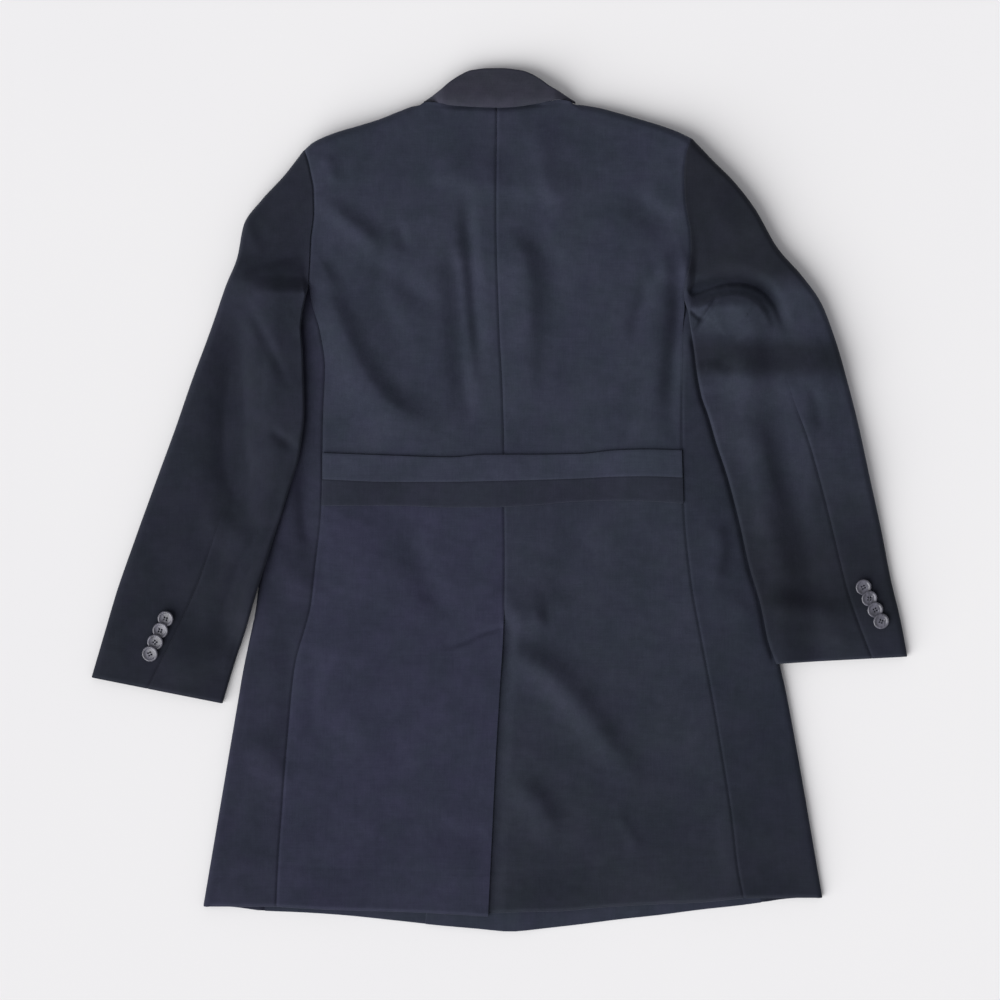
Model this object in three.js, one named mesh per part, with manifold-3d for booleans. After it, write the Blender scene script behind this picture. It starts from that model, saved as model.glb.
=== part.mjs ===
// A wool overcoat laid face down on a flat surface, its back up and its sleeves beside it.
//
// Frame: millimetres. +X is to the right as the back is looked at, +Y runs towards the collar and
// +Z is up. The floor is z = 0 and the origin lies under the middle of the coat's outline.
//
// Each cloth piece is one closed wall: a grid of outside points, each with its outward direction,
// and the same grid moved in by the cloth's thickness. The two sides of the coat lie differently,
// so each has tables of its own. A table has a row for each section and named columns.
import * as THREE from 'three';
import loadManifold from 'manifold-3d';

// ---------------------------------------------------------------- driving sizes

const CLOTH = 2.0; // overcoating with its backing
const BELT_CLOTH = 1.6;
const SEAM_GAP = 0.3; // between pieces that are sewn together
const LAP_GAP = 0.5; // between a band and the panel that it lies on
const SHOULDER_ROLL = 10; // how far in the shoulder starts to turn over
const SIDE_ROLL = 7; // the same at the sides of the body
const CUFF_OUTER_ROLL = 8; // at the outer edge of a sleeve
const CUFF_INNER_ROLL = 5; // at its inner edge
const EDGE_REACH = 110; // the body rises from its side edge to full height over this
const WAIST_SEAM = 22; // where upper back and skirt meet, under the belt
const VENT_TOP = -147; // top of the centre vent
const UNDERLAP = 50; // width of the vent's hidden flap
const UNDERLAP_SLOPE = 20; // how far the flap's top edge falls towards its end
const UNDERLAP_DROP = 2.9; // how far the flap lies under its neighbour
const FRONT_RISE = 2.8; // one cloth and its gap, where a front lies on another piece
const BUTTON = { radius: 9.2, thickness: 2.8, dish: 0.8, rim: 2.8, bevel: 0.7, pitch: 14.7, sides: 16 };
const BUTTON_HOLE = { radius: 1, reach: 2.1, sides: 8 }; // four of them, reach from the middle
const COLLAR = { roll: 3.3, tipStart: 62, tipReach: 25 };

const NAVY = 0x2b303c;
const NAVY_BELT = 0x2d323f;
const NAVY_SHADE = 0x262b37;
const HORN = 0x3b3c44;

// ---------------------------------------------------------------- small maths

const clamp = (value, low, high) => Math.min(high, Math.max(low, value));
const mix = (a, b, share) => a + (b - a) * share;
const spread = (from, to, steps) =>
  Array.from({ length: steps + 1 }, (_, i) => from + ((to - from) * i) / steps);

// Eases from 0 to 1.
function smooth(share) {
  const s = clamp(share, 0, 1);
  return s * s * (3 - 2 * s);
}

// Rows of numbers as objects with named columns.
function table(names, rows) {
  return rows.map((row) => Object.fromEntries(names.split(' ').map((name, i) => [name, row[i]])));
}

// A column as a smooth function of another, with no overshoot between rows and constant ends.
function curve(rows, key, name) {
  const xs = rows.map((row) => row[key]);
  const ys = rows.map((row) => row[name]);
  const last = xs.length - 1;
  const slopes = ys.slice(1).map((y, i) => (y - ys[i]) / (xs[i + 1] - xs[i]));
  const tangents = ys.map((_, i) => {
    const before = slopes[Math.max(i - 1, 0)];
    const after = slopes[Math.min(i, last - 1)];
    return before * after <= 0 ? 0 : (2 * before * after) / (before + after);
  });
  return (at) => {
    const x = clamp(at, xs[0], xs[last]);
    let i = 0;
    while (i < last - 1 && x > xs[i + 1]) i += 1;
    const width = xs[i + 1] - xs[i];
    const k = (x - xs[i]) / width;
    return (
      (1 + 2 * k) * (1 - k) ** 2 * ys[i] +
      k * (1 - k) ** 2 * width * tangents[i] +
      k ** 2 * (3 - 2 * k) * ys[i + 1] +
      k ** 2 * (k - 1) * width * tangents[i + 1]
    );
  };
}

// ---------------------------------------------------------------- outlines of the body

// Right edge of each back panel from waist to shoulder: side seam, then armhole.
const BACK_EDGE = {
  left: table('y x', [
    [20, -204], [60, -204], [108, -203], [152, -201], [195, -207], [232, -217], [253, -219],
    [276, -218], [299, -217], [330, -213.5], [357, -214], [374, -217], [388, -220], [402, -225],
  ]),
  right: table('y x', [
    [20, 211], [60, 210], [130, 210], [197, 211], [222, 213], [236, 212], [253, 214.5],
    [276, 219], [293, 220], [310, 219], [328, 215.6], [345, 213], [374, 212], [397, 214.5],
    [416, 221],
  ]),
};

// Side seam of each skirt panel, from hem to waist.
const SKIRT_EDGE = {
  left: table('y x', [
    [-468, -257], [-422, -255], [-352, -250], [-274, -244], [-194, -236], [-120, -217],
    [-76, -212], [-7, -205], [30, -204],
  ]),
  right: table('y x', [
    [-458, 281], [-422, 274], [-362, 267], [-298, 257], [-233, 246], [-164, 233], [-91, 220],
    [-7, 212], [30, 211],
  ]),
};

// Outermost edge of the body, where each side body folds round.
const SIDE_FOLD = {
  left: table('y x', [
    [-466, -341], [-236, -302], [-195, -295], [-161, -288], [-127, -281], [-103, -278],
    [-60, -272], [-23, -265], [57, -253], [161, -255], [232, -252],
  ]),
  right: table('y x', [
    [-457, 372], [-218, 329.5], [-187, 322.6], [-69, 309], [23, 291], [92, 279], [149, 271],
    [215, 266],
  ]),
};

// Centre seam above the vent and free edge of the vent below it.
const CENTRE = table('y x', [
  [-476, -13], [-373, -8], [-298, -4.4], [-214, 0.6], [-147, 4.5], [-69, 5.8], [-9, 5.2],
  [55, 5], [130, 3], [197, -0.5], [330, -4], [450, -3],
]);

// Top of each back panel against its width share: neck seam, then shoulder line.
const BACK_TOP = {
  left: table('u y', [
    [0, 458], [0.26, 456], [0.32, 453.5], [0.38, 452], [0.44, 452.5], [0.52, 446], [0.61, 438],
    [0.71, 431], [0.81, 424.5], [0.89, 418], [0.95, 411.5], [1, 402],
  ]),
  right: table('u y', [
    [0, 458], [0.26, 456], [0.32, 453.5], [0.38, 453], [0.44, 454.5], [0.52, 451.5],
    [0.63, 445], [0.73, 438.5], [0.84, 431], [0.93, 423.5], [1, 416],
  ]),
};

// Back hem of each skirt panel.
const BACK_HEM = {
  left: table('x y', [
    [-257, -468], [-206, -471], [-114, -474], [-80, -475.5], [-13, -479.5],
  ]),
  right: table('x y', [
    [-63, -478], [-11, -476], [24, -474], [70, -473], [116, -469], [185, -465], [231, -463],
    [281, -458],
  ]),
};

// Front hem, which shows below the back hem.
const FRONT_HEM = table('x y', [
  [-341, -466], [-275, -473], [-229, -475], [-183, -478], [-114, -485], [-68, -490],
  [-22, -494], [12, -497], [47, -494], [92, -489], [139, -483], [185, -478], [231, -472],
  [277, -467], [323, -461], [372, -457],
]);

// Neckline of the fronts against the distance from the middle.
const NECKLINE = table('x y', [[0, 383], [45, 392], [70, 412], [90, 434], [100, 448]]);

// Height of the laid coat over the floor, at its side edge and across its middle.
const LAID_HEIGHT = table('y edge middle', [
  [-480, 9.6, 11], [-300, 11, 13], [-150, 12, 15], [0, 12, 15], [60, 12, 15.5],
  [150, 12.5, 17.5], [230, 13, 20], [300, 17, 23], [350, 22, 24], [405, 28, 23.5], [460, 26, 20],
]);

// ---------------------------------------------------------------- creases

// A row is one crease: a soft trough (depth below 0) or ridge through three points.
const CREASE_COLUMNS = 'x0 y0 x1 y1 x2 y2 width depth';
const BODY_CREASES = table(CREASE_COLUMNS, [
  [-189, 347, -163, 318, -136, 288, 10, -3.0],
  [-198, 240, -167, 162, -97, 99, 14, -5.0],
  [-194, 206, -150, 108, -62, 70, 15, 3.5],
  [-159, 259, -118, 240, -90, 197, 10, -2.5],
  [-74, 276, -59, 172, -40, 75, 10, -3.5],
  [-40, 338, -36, 230, -26, 108, 9, -2.2],
  [18, 312, 42, 230, 38, 144, 12, -3.5],
  [46, 328, 62, 298, 65, 264, 12, 2.5],
  [10, 265, 13, 218, 10, 161, 9, 1.8],
  [-55, 402, -35, 396, -22, 380, 15, -1.8],
  [35, 408, 54, 396, 70, 374, 15, -1.8],
  [159, 347, 173, 338, 186, 329, 10, -1.8],
  [193, 259, 196, 180, 193, 86, 10, -3.5],
  [-47, -167, -27, -160, 4, -147, 7, 1.2],
  [6, -147, 29, -139, 52, -129, 10, 1.8],
  [13, -194, 95, -245, 156, -332, 18, 3.2],
  [12, -345, 32, -359, 52, -374, 16, 1.8],
  [70, -69, 52, -98, 24, -126, 20, -2.4],
  [-238, -7, -226, -76, -219, -106, 9, -2.0],
]);
const SLEEVE_CREASES = {
  left: table(CREASE_COLUMNS, [
    [-290, 275, -255, 258, -219, 268, 12, -4.6],
    [-291, 246, -258, 234, -224, 240, 13, 3.5],
    [-287, 221, -272, 196, -255, 167, 11, 2.2],
    [-301, 274, -301, 252, -299, 230, 9, 1.6],
    [-313, 180, -326, 80, -306, -15, 15, -3.8],
    [-295, 172, -300, 125, -298, 77, 11, -2.2],
    [-267, -23, -288, -58, -321, -123, 14, -3.2],
    [-330, -176, -358, -190, -382, -199, 10, -1.6],
  ]),
  right: table(CREASE_COLUMNS, [
    [222, 238, 275, 274, 328, 205, 12, -8.5],
    [234, 222, 276, 254, 317, 192, 13, 6.5],
    [214, 221, 225, 213, 235, 208, 7, -3.0],
    [235, 208, 241, 217, 247, 226, 7, -3.0],
    [235, 208, 228, 197, 221, 186, 7, -2.2],
    [230, 184, 252, 162, 271, 132, 14, -3.2],
    [288, 184, 338, 148, 397, 140, 15, -4.4],
    [273, 100, 330, -8, 331, -112, 15, -3.4],
    [360, 130, 365, 104, 369, 77, 11, -2.2],
    [311, -106, 348, -112, 380, -144, 10, -2.2],
    [368, -124, 394, -128, 417, -147, 10, 2.0],
  ]),
};
const CREASE_STEPS = 10;
const CREASE_TAPER = 0.28; // share of its length over which a crease fades out at each end

// Points along a crease, on the smooth arc that its three points steer.
function creaseLine(row) {
  return spread(0, 1, CREASE_STEPS).map((t) => {
    const [a, b, c] = [(1 - t) ** 2, 2 * t * (1 - t), t * t];
    return { t, x: a * row.x0 + b * row.x1 + c * row.x2, y: a * row.y0 + b * row.y1 + c * row.y2 };
  });
}

// Height that a set of creases adds at a point: from the nearest place on each of them.
function creaseSum(rows) {
  const lines = rows.map((row) => ({ ...row, line: creaseLine(row) }));
  return (x, y) => {
    let height = 0;
    for (const { line, width, depth } of lines) {
      let best = Infinity;
      let along = 0;
      for (let i = 0; i < CREASE_STEPS; i += 1) {
        const [a, b] = [line[i], line[i + 1]];
        const [dx, dy] = [b.x - a.x, b.y - a.y];
        const k = clamp(((x - a.x) * dx + (y - a.y) * dy) / (dx * dx + dy * dy), 0, 1);
        const square = (x - a.x - k * dx) ** 2 + (y - a.y - k * dy) ** 2;
        if (square < best) {
          best = square;
          along = mix(a.t, b.t, k);
        }
      }
      const taper = smooth(Math.min(along, 1 - along) / CREASE_TAPER);
      height += depth * taper * Math.exp(-best / (width * width));
    }
    return height;
  };
}

// ---------------------------------------------------------------- height of the body

const centreAt = curve(CENTRE, 'y', 'x');
const frontHemAt = curve(FRONT_HEM, 'x', 'y');
const edgeHeight = curve(LAID_HEIGHT, 'y', 'edge');
const middleHeight = curve(LAID_HEIGHT, 'y', 'middle');
const bodyCreases = creaseSum(BODY_CREASES);

// What differs between the coat's left and right half.
function half(name, sign, sideTop, armhole) {
  return {
    name,
    sign,
    sideTop, // where the side body ends, under the arm
    armhole, // its top and bottom, and where the sleeve's seams meet it
    backEdge: curve(BACK_EDGE[name], 'y', 'x'),
    skirtEdge: curve(SKIRT_EDGE[name], 'y', 'x'),
    fold: curve(SIDE_FOLD[name], 'y', 'x'),
    backTop: curve(BACK_TOP[name], 'u', 'y'),
    backHem: curve(BACK_HEM[name], 'x', 'y'),
    creases: creaseSum(SLEEVE_CREASES[name]),
  };
}
const LEFT = half('left', -1, 232, { top: 402, bottom: 247, backSeam: 0.64 });
const RIGHT = half('right', 1, 215, { top: 416, bottom: 230, backSeam: 0.6 });

// Height of the laid body's upper surface.
function bodyTop(x, y) {
  const fromLeft = x - LEFT.fold(y);
  const fromRight = RIGHT.fold(y) - x;
  const inside = smooth(Math.min(fromLeft, fromRight) / EDGE_REACH);
  return mix(edgeHeight(y), middleHeight(y), inside) + bodyCreases(x, y);
}

// ---------------------------------------------------------------- walls

const UP = new THREE.Vector3(0, 0, 1);
const DOWN = new THREE.Vector3(0, 0, -1);

// One grid point: where the outside of the cloth is and which way it faces.
const outside = (x, y, z, facing = UP) => ({ place: new THREE.Vector3(x, y, z), facing });

// A closed wall from a grid of outside points. The inside grid lies one thickness behind it.
function wall(grid, thickness = CLOTH) {
  const columns = grid[0].length;
  const last = { row: grid.length - 1, column: columns - 1 };
  const points = grid.flat();
  const inner = points.length;
  const places = points.map((p) => p.place);
  places.push(...points.map((p) => p.place.clone().addScaledVector(p.facing, -thickness)));

  const middle = [Math.floor(last.row / 2), Math.floor(last.column / 2)];
  const start = grid[middle[0]][middle[1]];
  const across = grid[middle[0]][middle[1] + 1].place.clone().sub(start.place);
  const onward = grid[middle[0] + 1][middle[1]].place.clone().sub(start.place);
  const flipped = across.cross(onward).dot(start.facing) < 0;

  const index = [];
  const quad = (a, b, c, d) => index.push(...(flipped ? [a, c, b, a, d, c] : [a, b, c, a, c, d]));
  const at = (row, column) => row * columns + column;
  const edge = (a, b) => quad(b, a, a + inner, b + inner);
  for (let row = 0; row < last.row; row += 1) {
    for (let column = 0; column < last.column; column += 1) {
      const corners = [
        at(row, column), at(row, column + 1), at(row + 1, column + 1), at(row + 1, column),
      ];
      quad(...corners);
      quad(...[0, 3, 2, 1].map((i) => corners[i] + inner));
    }
  }
  for (let column = 0; column < last.column; column += 1) {
    edge(at(0, column), at(0, column + 1));
    edge(at(last.row, column + 1), at(last.row, column));
  }
  for (let row = 0; row < last.row; row += 1) {
    edge(at(row, last.column), at(row + 1, last.column));
    edge(at(row + 1, 0), at(row, 0));
  }

  const geometry = new THREE.BufferGeometry();
  const flat = places.flatMap((p) => [p.x, p.y, p.z]);
  geometry.setAttribute('position', new THREE.Float32BufferAttribute(flat, 3));
  geometry.setIndex(index);
  geometry.computeVertexNormals();
  return geometry;
}

const coat = new THREE.Group();
coat.name = 'overcoat';

function addPiece(name, geometry, color = NAVY, roughness = 0.9, metalness = 0) {
  const material = new THREE.MeshStandardMaterial({ color, roughness, metalness });
  const mesh = new THREE.Mesh(geometry, material);
  mesh.name = name;
  coat.add(mesh);
  return mesh;
}

// Points round a folded edge, from the upper surface to the floor side. The fold starts at
// (x, y), turns towards the unit direction (ox, oy) and is roll deep.
function foldPoints(x, y, direction, roll, low, high, steps) {
  const rise = (high - low) / 2;
  return spread(Math.PI / 2, -Math.PI / 2, steps).map((angle) => {
    const out = roll * Math.cos(angle);
    const side = Math.cos(angle) / roll;
    const facing = new THREE.Vector3(
      direction.x * side, direction.y * side, Math.sin(angle) / rise,
    ).normalize();
    const z = low + rise * (1 + Math.sin(angle));
    return outside(x + direction.x * out, y + direction.y * out, z, facing);
  });
}

// ---------------------------------------------------------------- back and skirt

const BACK_COLUMNS = [0, 0.09, 0.18, 0.28, 0.38, 0.44, 0.53, 0.62, 0.71, 0.8, 0.9, 1];
const ROLL_ROWS = 6;
const LOWER_BACK_ROWS = 7;
const SLEEVE_TOP_COLUMNS = { outer: 5, inner: 3 };
const SLEEVE_UNDER_SHARES = { outer: [0, 0.33, 0.67, 1], inner: [0, 0.12, 0.5, 1] };
const FRONT_ARM_SEAM = 0.5; // share of a sleeve's width where its hidden seam lies
const NECK = { from: 0.38, to: 0.44, depth: 4 }; // where the plain neck edge becomes a shoulder

// Levels round an armhole that the sleeve and the panels beside it share.
function armholeLevels(side, seamShare, outerShares, innerShares) {
  const { top, bottom } = side.armhole;
  const seam = mix(top, bottom, seamShare);
  const lower = innerShares.map((share) => mix(bottom + CUFF_INNER_ROLL, seam, share));
  const upper = outerShares.map((share) => mix(top - SHOULDER_ROLL, seam, share)).reverse();
  return [bottom, ...lower, ...upper.slice(1)];
}

// An upper back panel: flat from waist to shoulder, then over the shoulder to the floor side.
function backPanel(side) {
  const columnAt = (u, y) => {
    const seam = centreAt(y) + (side.sign * SEAM_GAP) / 2;
    return mix(seam, side.backEdge(y), u);
  };
  const shoulder = (u) => smooth((u - NECK.from) / (NECK.to - NECK.from));
  const rollStart = (u) => side.backTop(u) - mix(NECK.depth, SHOULDER_ROLL, shoulder(u));
  const waist = WAIST_SEAM + SEAM_GAP / 2;
  const { outer, inner } = SLEEVE_TOP_COLUMNS;
  const levels = [
    ...spread(waist, side.sideTop, LOWER_BACK_ROWS),
    ...armholeLevels(side, side.armhole.backSeam, spread(0, 1, outer), spread(0, 1, inner)),
  ];
  const grid = levels.map((level) =>
    BACK_COLUMNS.map((u) => {
      const v = (level - waist) / (rollStart(1) - waist);
      const y = mix(waist, rollStart(u), v);
      const x = columnAt(u, y);
      return outside(x, y, bodyTop(x, y));
    }),
  );
  const turned = BACK_COLUMNS.map((u) => {
    const y = rollStart(u);
    const x = columnAt(u, y);
    const top = bodyTop(x, y);
    const share = shoulder(u);
    const fold = foldPoints(x, y, { x: 0, y: 1 }, SHOULDER_ROLL, 0, top, ROLL_ROWS);
    return fold.map((point, j) => {
      const flatY = y + (NECK.depth * j) / ROLL_ROWS;
      const placeY = mix(flatY, point.place.y, share);
      const z = mix(top, point.place.z, share);
      const facing = UP.clone().lerp(point.facing, share).normalize();
      return outside(columnAt(u, placeY), placeY, z, facing);
    });
  });
  for (let j = 1; j <= ROLL_ROWS; j += 1) grid.push(turned.map((fold) => fold[j]));
  return wall(grid);
}

const SKIRT_COLUMNS = { left: spread(0, 1, 8), right: [0, 0.08, 0.2, 0.34, 0.5, 0.67, 0.84, 1] };
const SKIRT_LEVELS = [0, 0.09, 0.18, 0.27, 0.36, 0.45, 0.54, 0.62, 0.665, 0.73, 0.8, 0.87, 0.94, 1];
const LAP = { start: -100, run: 45, near: 8, far: 40, root: 2 }; // where the right skirt sinks for the vent

// Width of the right skirt's underlap, which ends in a slant at the top of the vent.
const underlapWidth = (y) => UNDERLAP * smooth((VENT_TOP - y) / UNDERLAP_SLOPE);

// Height of the right skirt, which sinks under the left one near the vent and is plain there.
function lappedTop(x, y) {
  const along = smooth((LAP.start - y) / LAP.run);
  const across = 1 - smooth((x - centreAt(y) - LAP.near) / (LAP.far - LAP.near));
  const share = along * across;
  return bodyTop(x, y) - share * (UNDERLAP_DROP + bodyCreases(x, y));
}

// A skirt panel from hem to waist seam. The right one carries the underlap.
function skirtPanel(side) {
  const under = side.sign > 0;
  const placeAt = (u, v, offset) => {
    const acrossAt = (y) => mix(centreAt(y) + offset(y), side.skirtEdge(y), u);
    let hem = side.backHem(0);
    for (let pass = 0; pass < 3; pass += 1) hem = side.backHem(acrossAt(hem));
    const y = mix(hem, WAIST_SEAM - SEAM_GAP / 2, v);
    const x = acrossAt(y);
    return outside(x, y, under ? lappedTop(x, y) : bodyTop(x, y));
  };
  const seam = (side.sign * SEAM_GAP) / 2;
  const grid = SKIRT_LEVELS.map((v) => {
    const flap = under ? [placeAt(0, v, (y) => seam - underlapWidth(y))] : [];
    const start = under ? seam + LAP.root : seam;
    return [...flap, ...SKIRT_COLUMNS[side.name].map((u) => placeAt(u, v, () => start))];
  });
  return wall(grid);
}

// ---------------------------------------------------------------- sides and fronts

const SIDE_TOP_COLUMNS = 3;
const SIDE_ROLL_STEPS = 4;
const SIDE_UNDER_COLUMNS = 2;
const FRONT_SEAM_INSET = 70; // from the folded side in to the seam of the front, underneath

const HEM_EASE = 60; // height over which the side's underneath follows the front's longer hem

const sideSeam = (side, y) => (y < WAIST_SEAM ? side.skirtEdge(y) : side.backEdge(y));
const frontSeam = (side, y) => side.fold(y) - side.sign * FRONT_SEAM_INSET;

// Levels of a side from hem to underarm, the same as those of the panels that it is sewn to.
function sideLevels(side) {
  const hem = side.backHem(side.skirtEdge(SKIRT_EDGE[side.name][0].y));
  const skirt = SKIRT_LEVELS.slice(0, -1).map((v) => mix(hem, WAIST_SEAM - SEAM_GAP / 2, v));
  return [...skirt, ...spread(WAIST_SEAM + SEAM_GAP / 2, side.sideTop, LOWER_BACK_ROWS)];
}

// A side body: from the back seam, round the folded side, to the front seam underneath.
function sidePanel(side) {
  const levels = sideLevels(side);
  const hem = levels[0];
  const outward = { x: side.sign, y: 0 };
  const grid = levels.map((y) => {
    const turn = side.fold(y) - side.sign * SIDE_ROLL;
    const seam = sideSeam(side, y) + side.sign * SEAM_GAP;
    const upper = spread(seam, turn, SIDE_TOP_COLUMNS).map((x) => outside(x, y, bodyTop(x, y)));
    const fold = foldPoints(turn, y, outward, SIDE_ROLL, 0, bodyTop(turn, y), SIDE_ROLL_STEPS);
    const nearHem = smooth((hem + HEM_EASE - y) / HEM_EASE);
    const under = spread(turn, frontSeam(side, y), SIDE_UNDER_COLUMNS).map((x) => {
      const drop = (frontHemAt(x) - hem) * nearHem * smooth((turn - x) / (turn - frontSeam(side, y)));
      return outside(x, y + drop, 0, DOWN);
    });
    return [...upper, ...fold.slice(1), ...under.slice(1)];
  });
  return wall(grid);
}

const FRONT_COLUMNS = [0, 0.14, 0.27, 0.33, 0.42, 0.65, 1];
const FREE_EDGE = table('y left right', [
  [-500, 14, -86], [-300, 20, -70], [0, 32, -50], [250, 34, -34], [330, 20, -20], [400, 18, -18],
]);
const LAP_RAMP = { near: 14, run: 34 }; // over which a front comes down beside the one that it lies on
const COLLAR_ROOM = { low: 252, rise: 64, near: 118, far: 148 };

// How far a front is lifted by the collar end under it.
function collarLift(x, y) {
  const along = smooth((y - COLLAR_ROOM.low) / COLLAR_ROOM.rise);
  const across = 1 - smooth((Math.abs(x) - COLLAR_ROOM.near) / (COLLAR_ROOM.far - COLLAR_ROOM.near));
  return FRONT_RISE * along * across;
}

const leftFreeEdge = curve(FREE_EDGE, 'y', 'left');
const rightFreeEdge = curve(FREE_EDGE, 'y', 'right');
const neckline = curve(NECKLINE, 'x', 'y');

// Upper edge of a front: the neckline, then just short of where the back turns under.
function frontTop(side, x) {
  let y = side.armhole.top;
  for (let pass = 0; pass < 3; pass += 1) {
    const u = (x - centreAt(y)) / (side.backEdge(y) - centreAt(y));
    y = side.backTop(clamp(u, 0, 1)) - SHOULDER_ROLL - SEAM_GAP;
  }
  return Math.min(y, neckline(Math.abs(x)));
}

// A front, on the floor. The right one lies over the left one along the middle.
function frontPanel(side) {
  const over = side.sign > 0;
  const freeEdge = over ? rightFreeEdge : leftFreeEdge;
  const outerEdge = (y) => {
    const seam = frontSeam(side, y) - side.sign * SEAM_GAP;
    const reach = side.armhole.bottom - side.sideTop - SEAM_GAP;
    const armhole = side.backEdge(Math.max(y, side.armhole.bottom));
    return mix(seam, armhole, smooth((y - side.sideTop - SEAM_GAP) / reach));
  };
  const edgeLevels = [
    ...sideLevels(side).slice(1), side.sideTop + SEAM_GAP,
    ...armholeLevels(side, FRONT_ARM_SEAM, SLEEVE_UNDER_SHARES.outer, SLEEVE_UNDER_SHARES.inner),
  ];
  const hem = frontHemAt(outerEdge(edgeLevels[0]));
  const top = side.armhole.top - SHOULDER_ROLL;
  const grid = [hem, ...edgeLevels].map((level) =>
    FRONT_COLUMNS.map((u) => {
      const v = (level - hem) / (top - hem);
      let y = level;
      let x = 0;
      for (let pass = 0; pass < 4; pass += 1) {
        x = mix(freeEdge(y), outerEdge(y), u);
        y = u === 1 ? Math.min(level, top - SEAM_GAP) : mix(frontHemAt(x), frontTop(side, x), v);
      }
      const lap = 1 - smooth((x - leftFreeEdge(y) - LAP_RAMP.near) / LAP_RAMP.run);
      return outside(x, y, (over ? FRONT_RISE * lap : 0) + collarLift(x, y), DOWN);
    }),
  );
  return wall(grid);
}

// ---------------------------------------------------------------- belt

const BELT = table('x low middle high', [
  [-205, -6, 24, 54], [-125, -6, 21, 51], [-57, -8, 21, 49], [-14, -8, 22, 52], [33, -6, 23, 52],
  [94, -1, 25, 53], [134, 0, 27, 57], [171, -1, 27.5, 58], [211, -3.5, 26, 57],
]);
const BELT_STEPS = 24;
const UPPER_BAND_LIFT = 0.7;
const BELT_END_INSET = 0.6;

// One band of the half belt, moved out from the panels that it lies on.
function beltBand(lowName, highName, trimLow, lift) {
  const low = curve(BELT, 'x', lowName);
  const high = curve(BELT, 'x', highName);
  const grid = spread(0, 1, 2).map((v) =>
    spread(0, 1, BELT_STEPS).map((u) => {
      const level = mix(low(0), high(0), v);
      const from = sideSeam(LEFT, level) + BELT_END_INSET;
      const to = sideSeam(RIGHT, level) - BELT_END_INSET;
      const x = mix(from, to, u);
      const y = mix(low(x) + trimLow, high(x), v);
      return outside(x, y, bodyTop(x, y) + LAP_GAP + BELT_CLOTH + lift);
    }),
  );
  return wall(grid, BELT_CLOTH);
}

// ---------------------------------------------------------------- collar

const COLLAR_LINES = table('x fold free', [
  [-87, 461, 456.8], [-80, 463.5, 458], [-68, 471.5, 456.5], [-57, 481, 454], [-45, 489, 453],
  [-33, 494.5, 452.3], [-11, 497, 451.5], [1, 497, 451.3], [24, 494.6, 452.8], [35, 491, 454.5],
  [47, 484, 456.5], [58, 476, 459], [70, 469, 460.5], [80, 464, 459.5], [87, 461, 457],
]);
const LEAF_HEIGHT = table('y z', [[450, 22.9], [460, 24.9], [478, 21], [497, 15]]);
const LEAF_COLUMNS = spread(-87, 87, 18);
const NECK_GAP = 0.7; // between the stand's lower edge and the back
const SHOULDER_HALF = 217; // from the centre seam to the shoulder point
const collarFold = curve(COLLAR_LINES, 'x', 'fold');
const collarFree = curve(COLLAR_LINES, 'x', 'free');
const leafLevel = curve(LEAF_HEIGHT, 'y', 'z');

// Height of the leaf's outside: it sinks to the floor side at its two ends.
function leafTop(x, y) {
  const tip = smooth((Math.abs(x) - COLLAR.tipStart) / COLLAR.tipReach);
  const sunk = CLOTH + SEAM_GAP + 2 * COLLAR.roll + SEAM_GAP;
  return mix(leafLevel(y), sunk, tip);
}

// The leaf: from its free edge up to the fold line and round it.
function collarLeaf() {
  const columns = LEAF_COLUMNS.map((x) => {
    const turn = collarFold(x) - COLLAR.roll;
    const upper = spread(collarFree(x), turn, 3).map((y) => outside(x, y, leafTop(x, y)));
    const top = leafTop(x, turn);
    const fold = foldPoints(x, turn, { x: 0, y: 1 }, COLLAR.roll, top - 2 * COLLAR.roll, top, 4);
    return [...upper, ...fold.slice(1)];
  });
  return wall(columns);
}

// The stand: from the neck seam up into the fold, hidden under the leaf.
function collarStand() {
  const inside = LEAF_COLUMNS.filter((x) => Math.abs(x) < COLLAR.tipStart);
  const columns = inside.map((x) => {
    const turn = collarFold(x) - COLLAR.roll - SEAM_GAP;
    const seam = (x < 0 ? LEFT : RIGHT).backTop(Math.abs(x) / SHOULDER_HALF) + NECK_GAP;
    return spread(seam, turn, 2).map((y) => {
      const underside = leafTop(x, y) - 2 * COLLAR.roll;
      return outside(x, y, underside, DOWN);
    });
  });
  return wall(columns);
}

const COLLAR_END = table('innerX innerY outerX outerY', [
  [54, 463.5, 91, 456.5], [58, 442, 92, 434], [58, 414, 92, 406], [48, 391, 87, 380],
  [34, 372, 68, 352],
]);

// A front end of the collar, flat on the floor under its front.
function collarFrontEnd(sign) {
  const rows = COLLAR_END.map((row) =>
    spread(0, 1, 2).map((k) => {
      const x = sign * mix(row.innerX, row.outerX, k);
      return outside(x, mix(row.innerY, row.outerY, k), 0, DOWN);
    }),
  );
  return wall(rows);
}

// ---------------------------------------------------------------- sleeves

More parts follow.
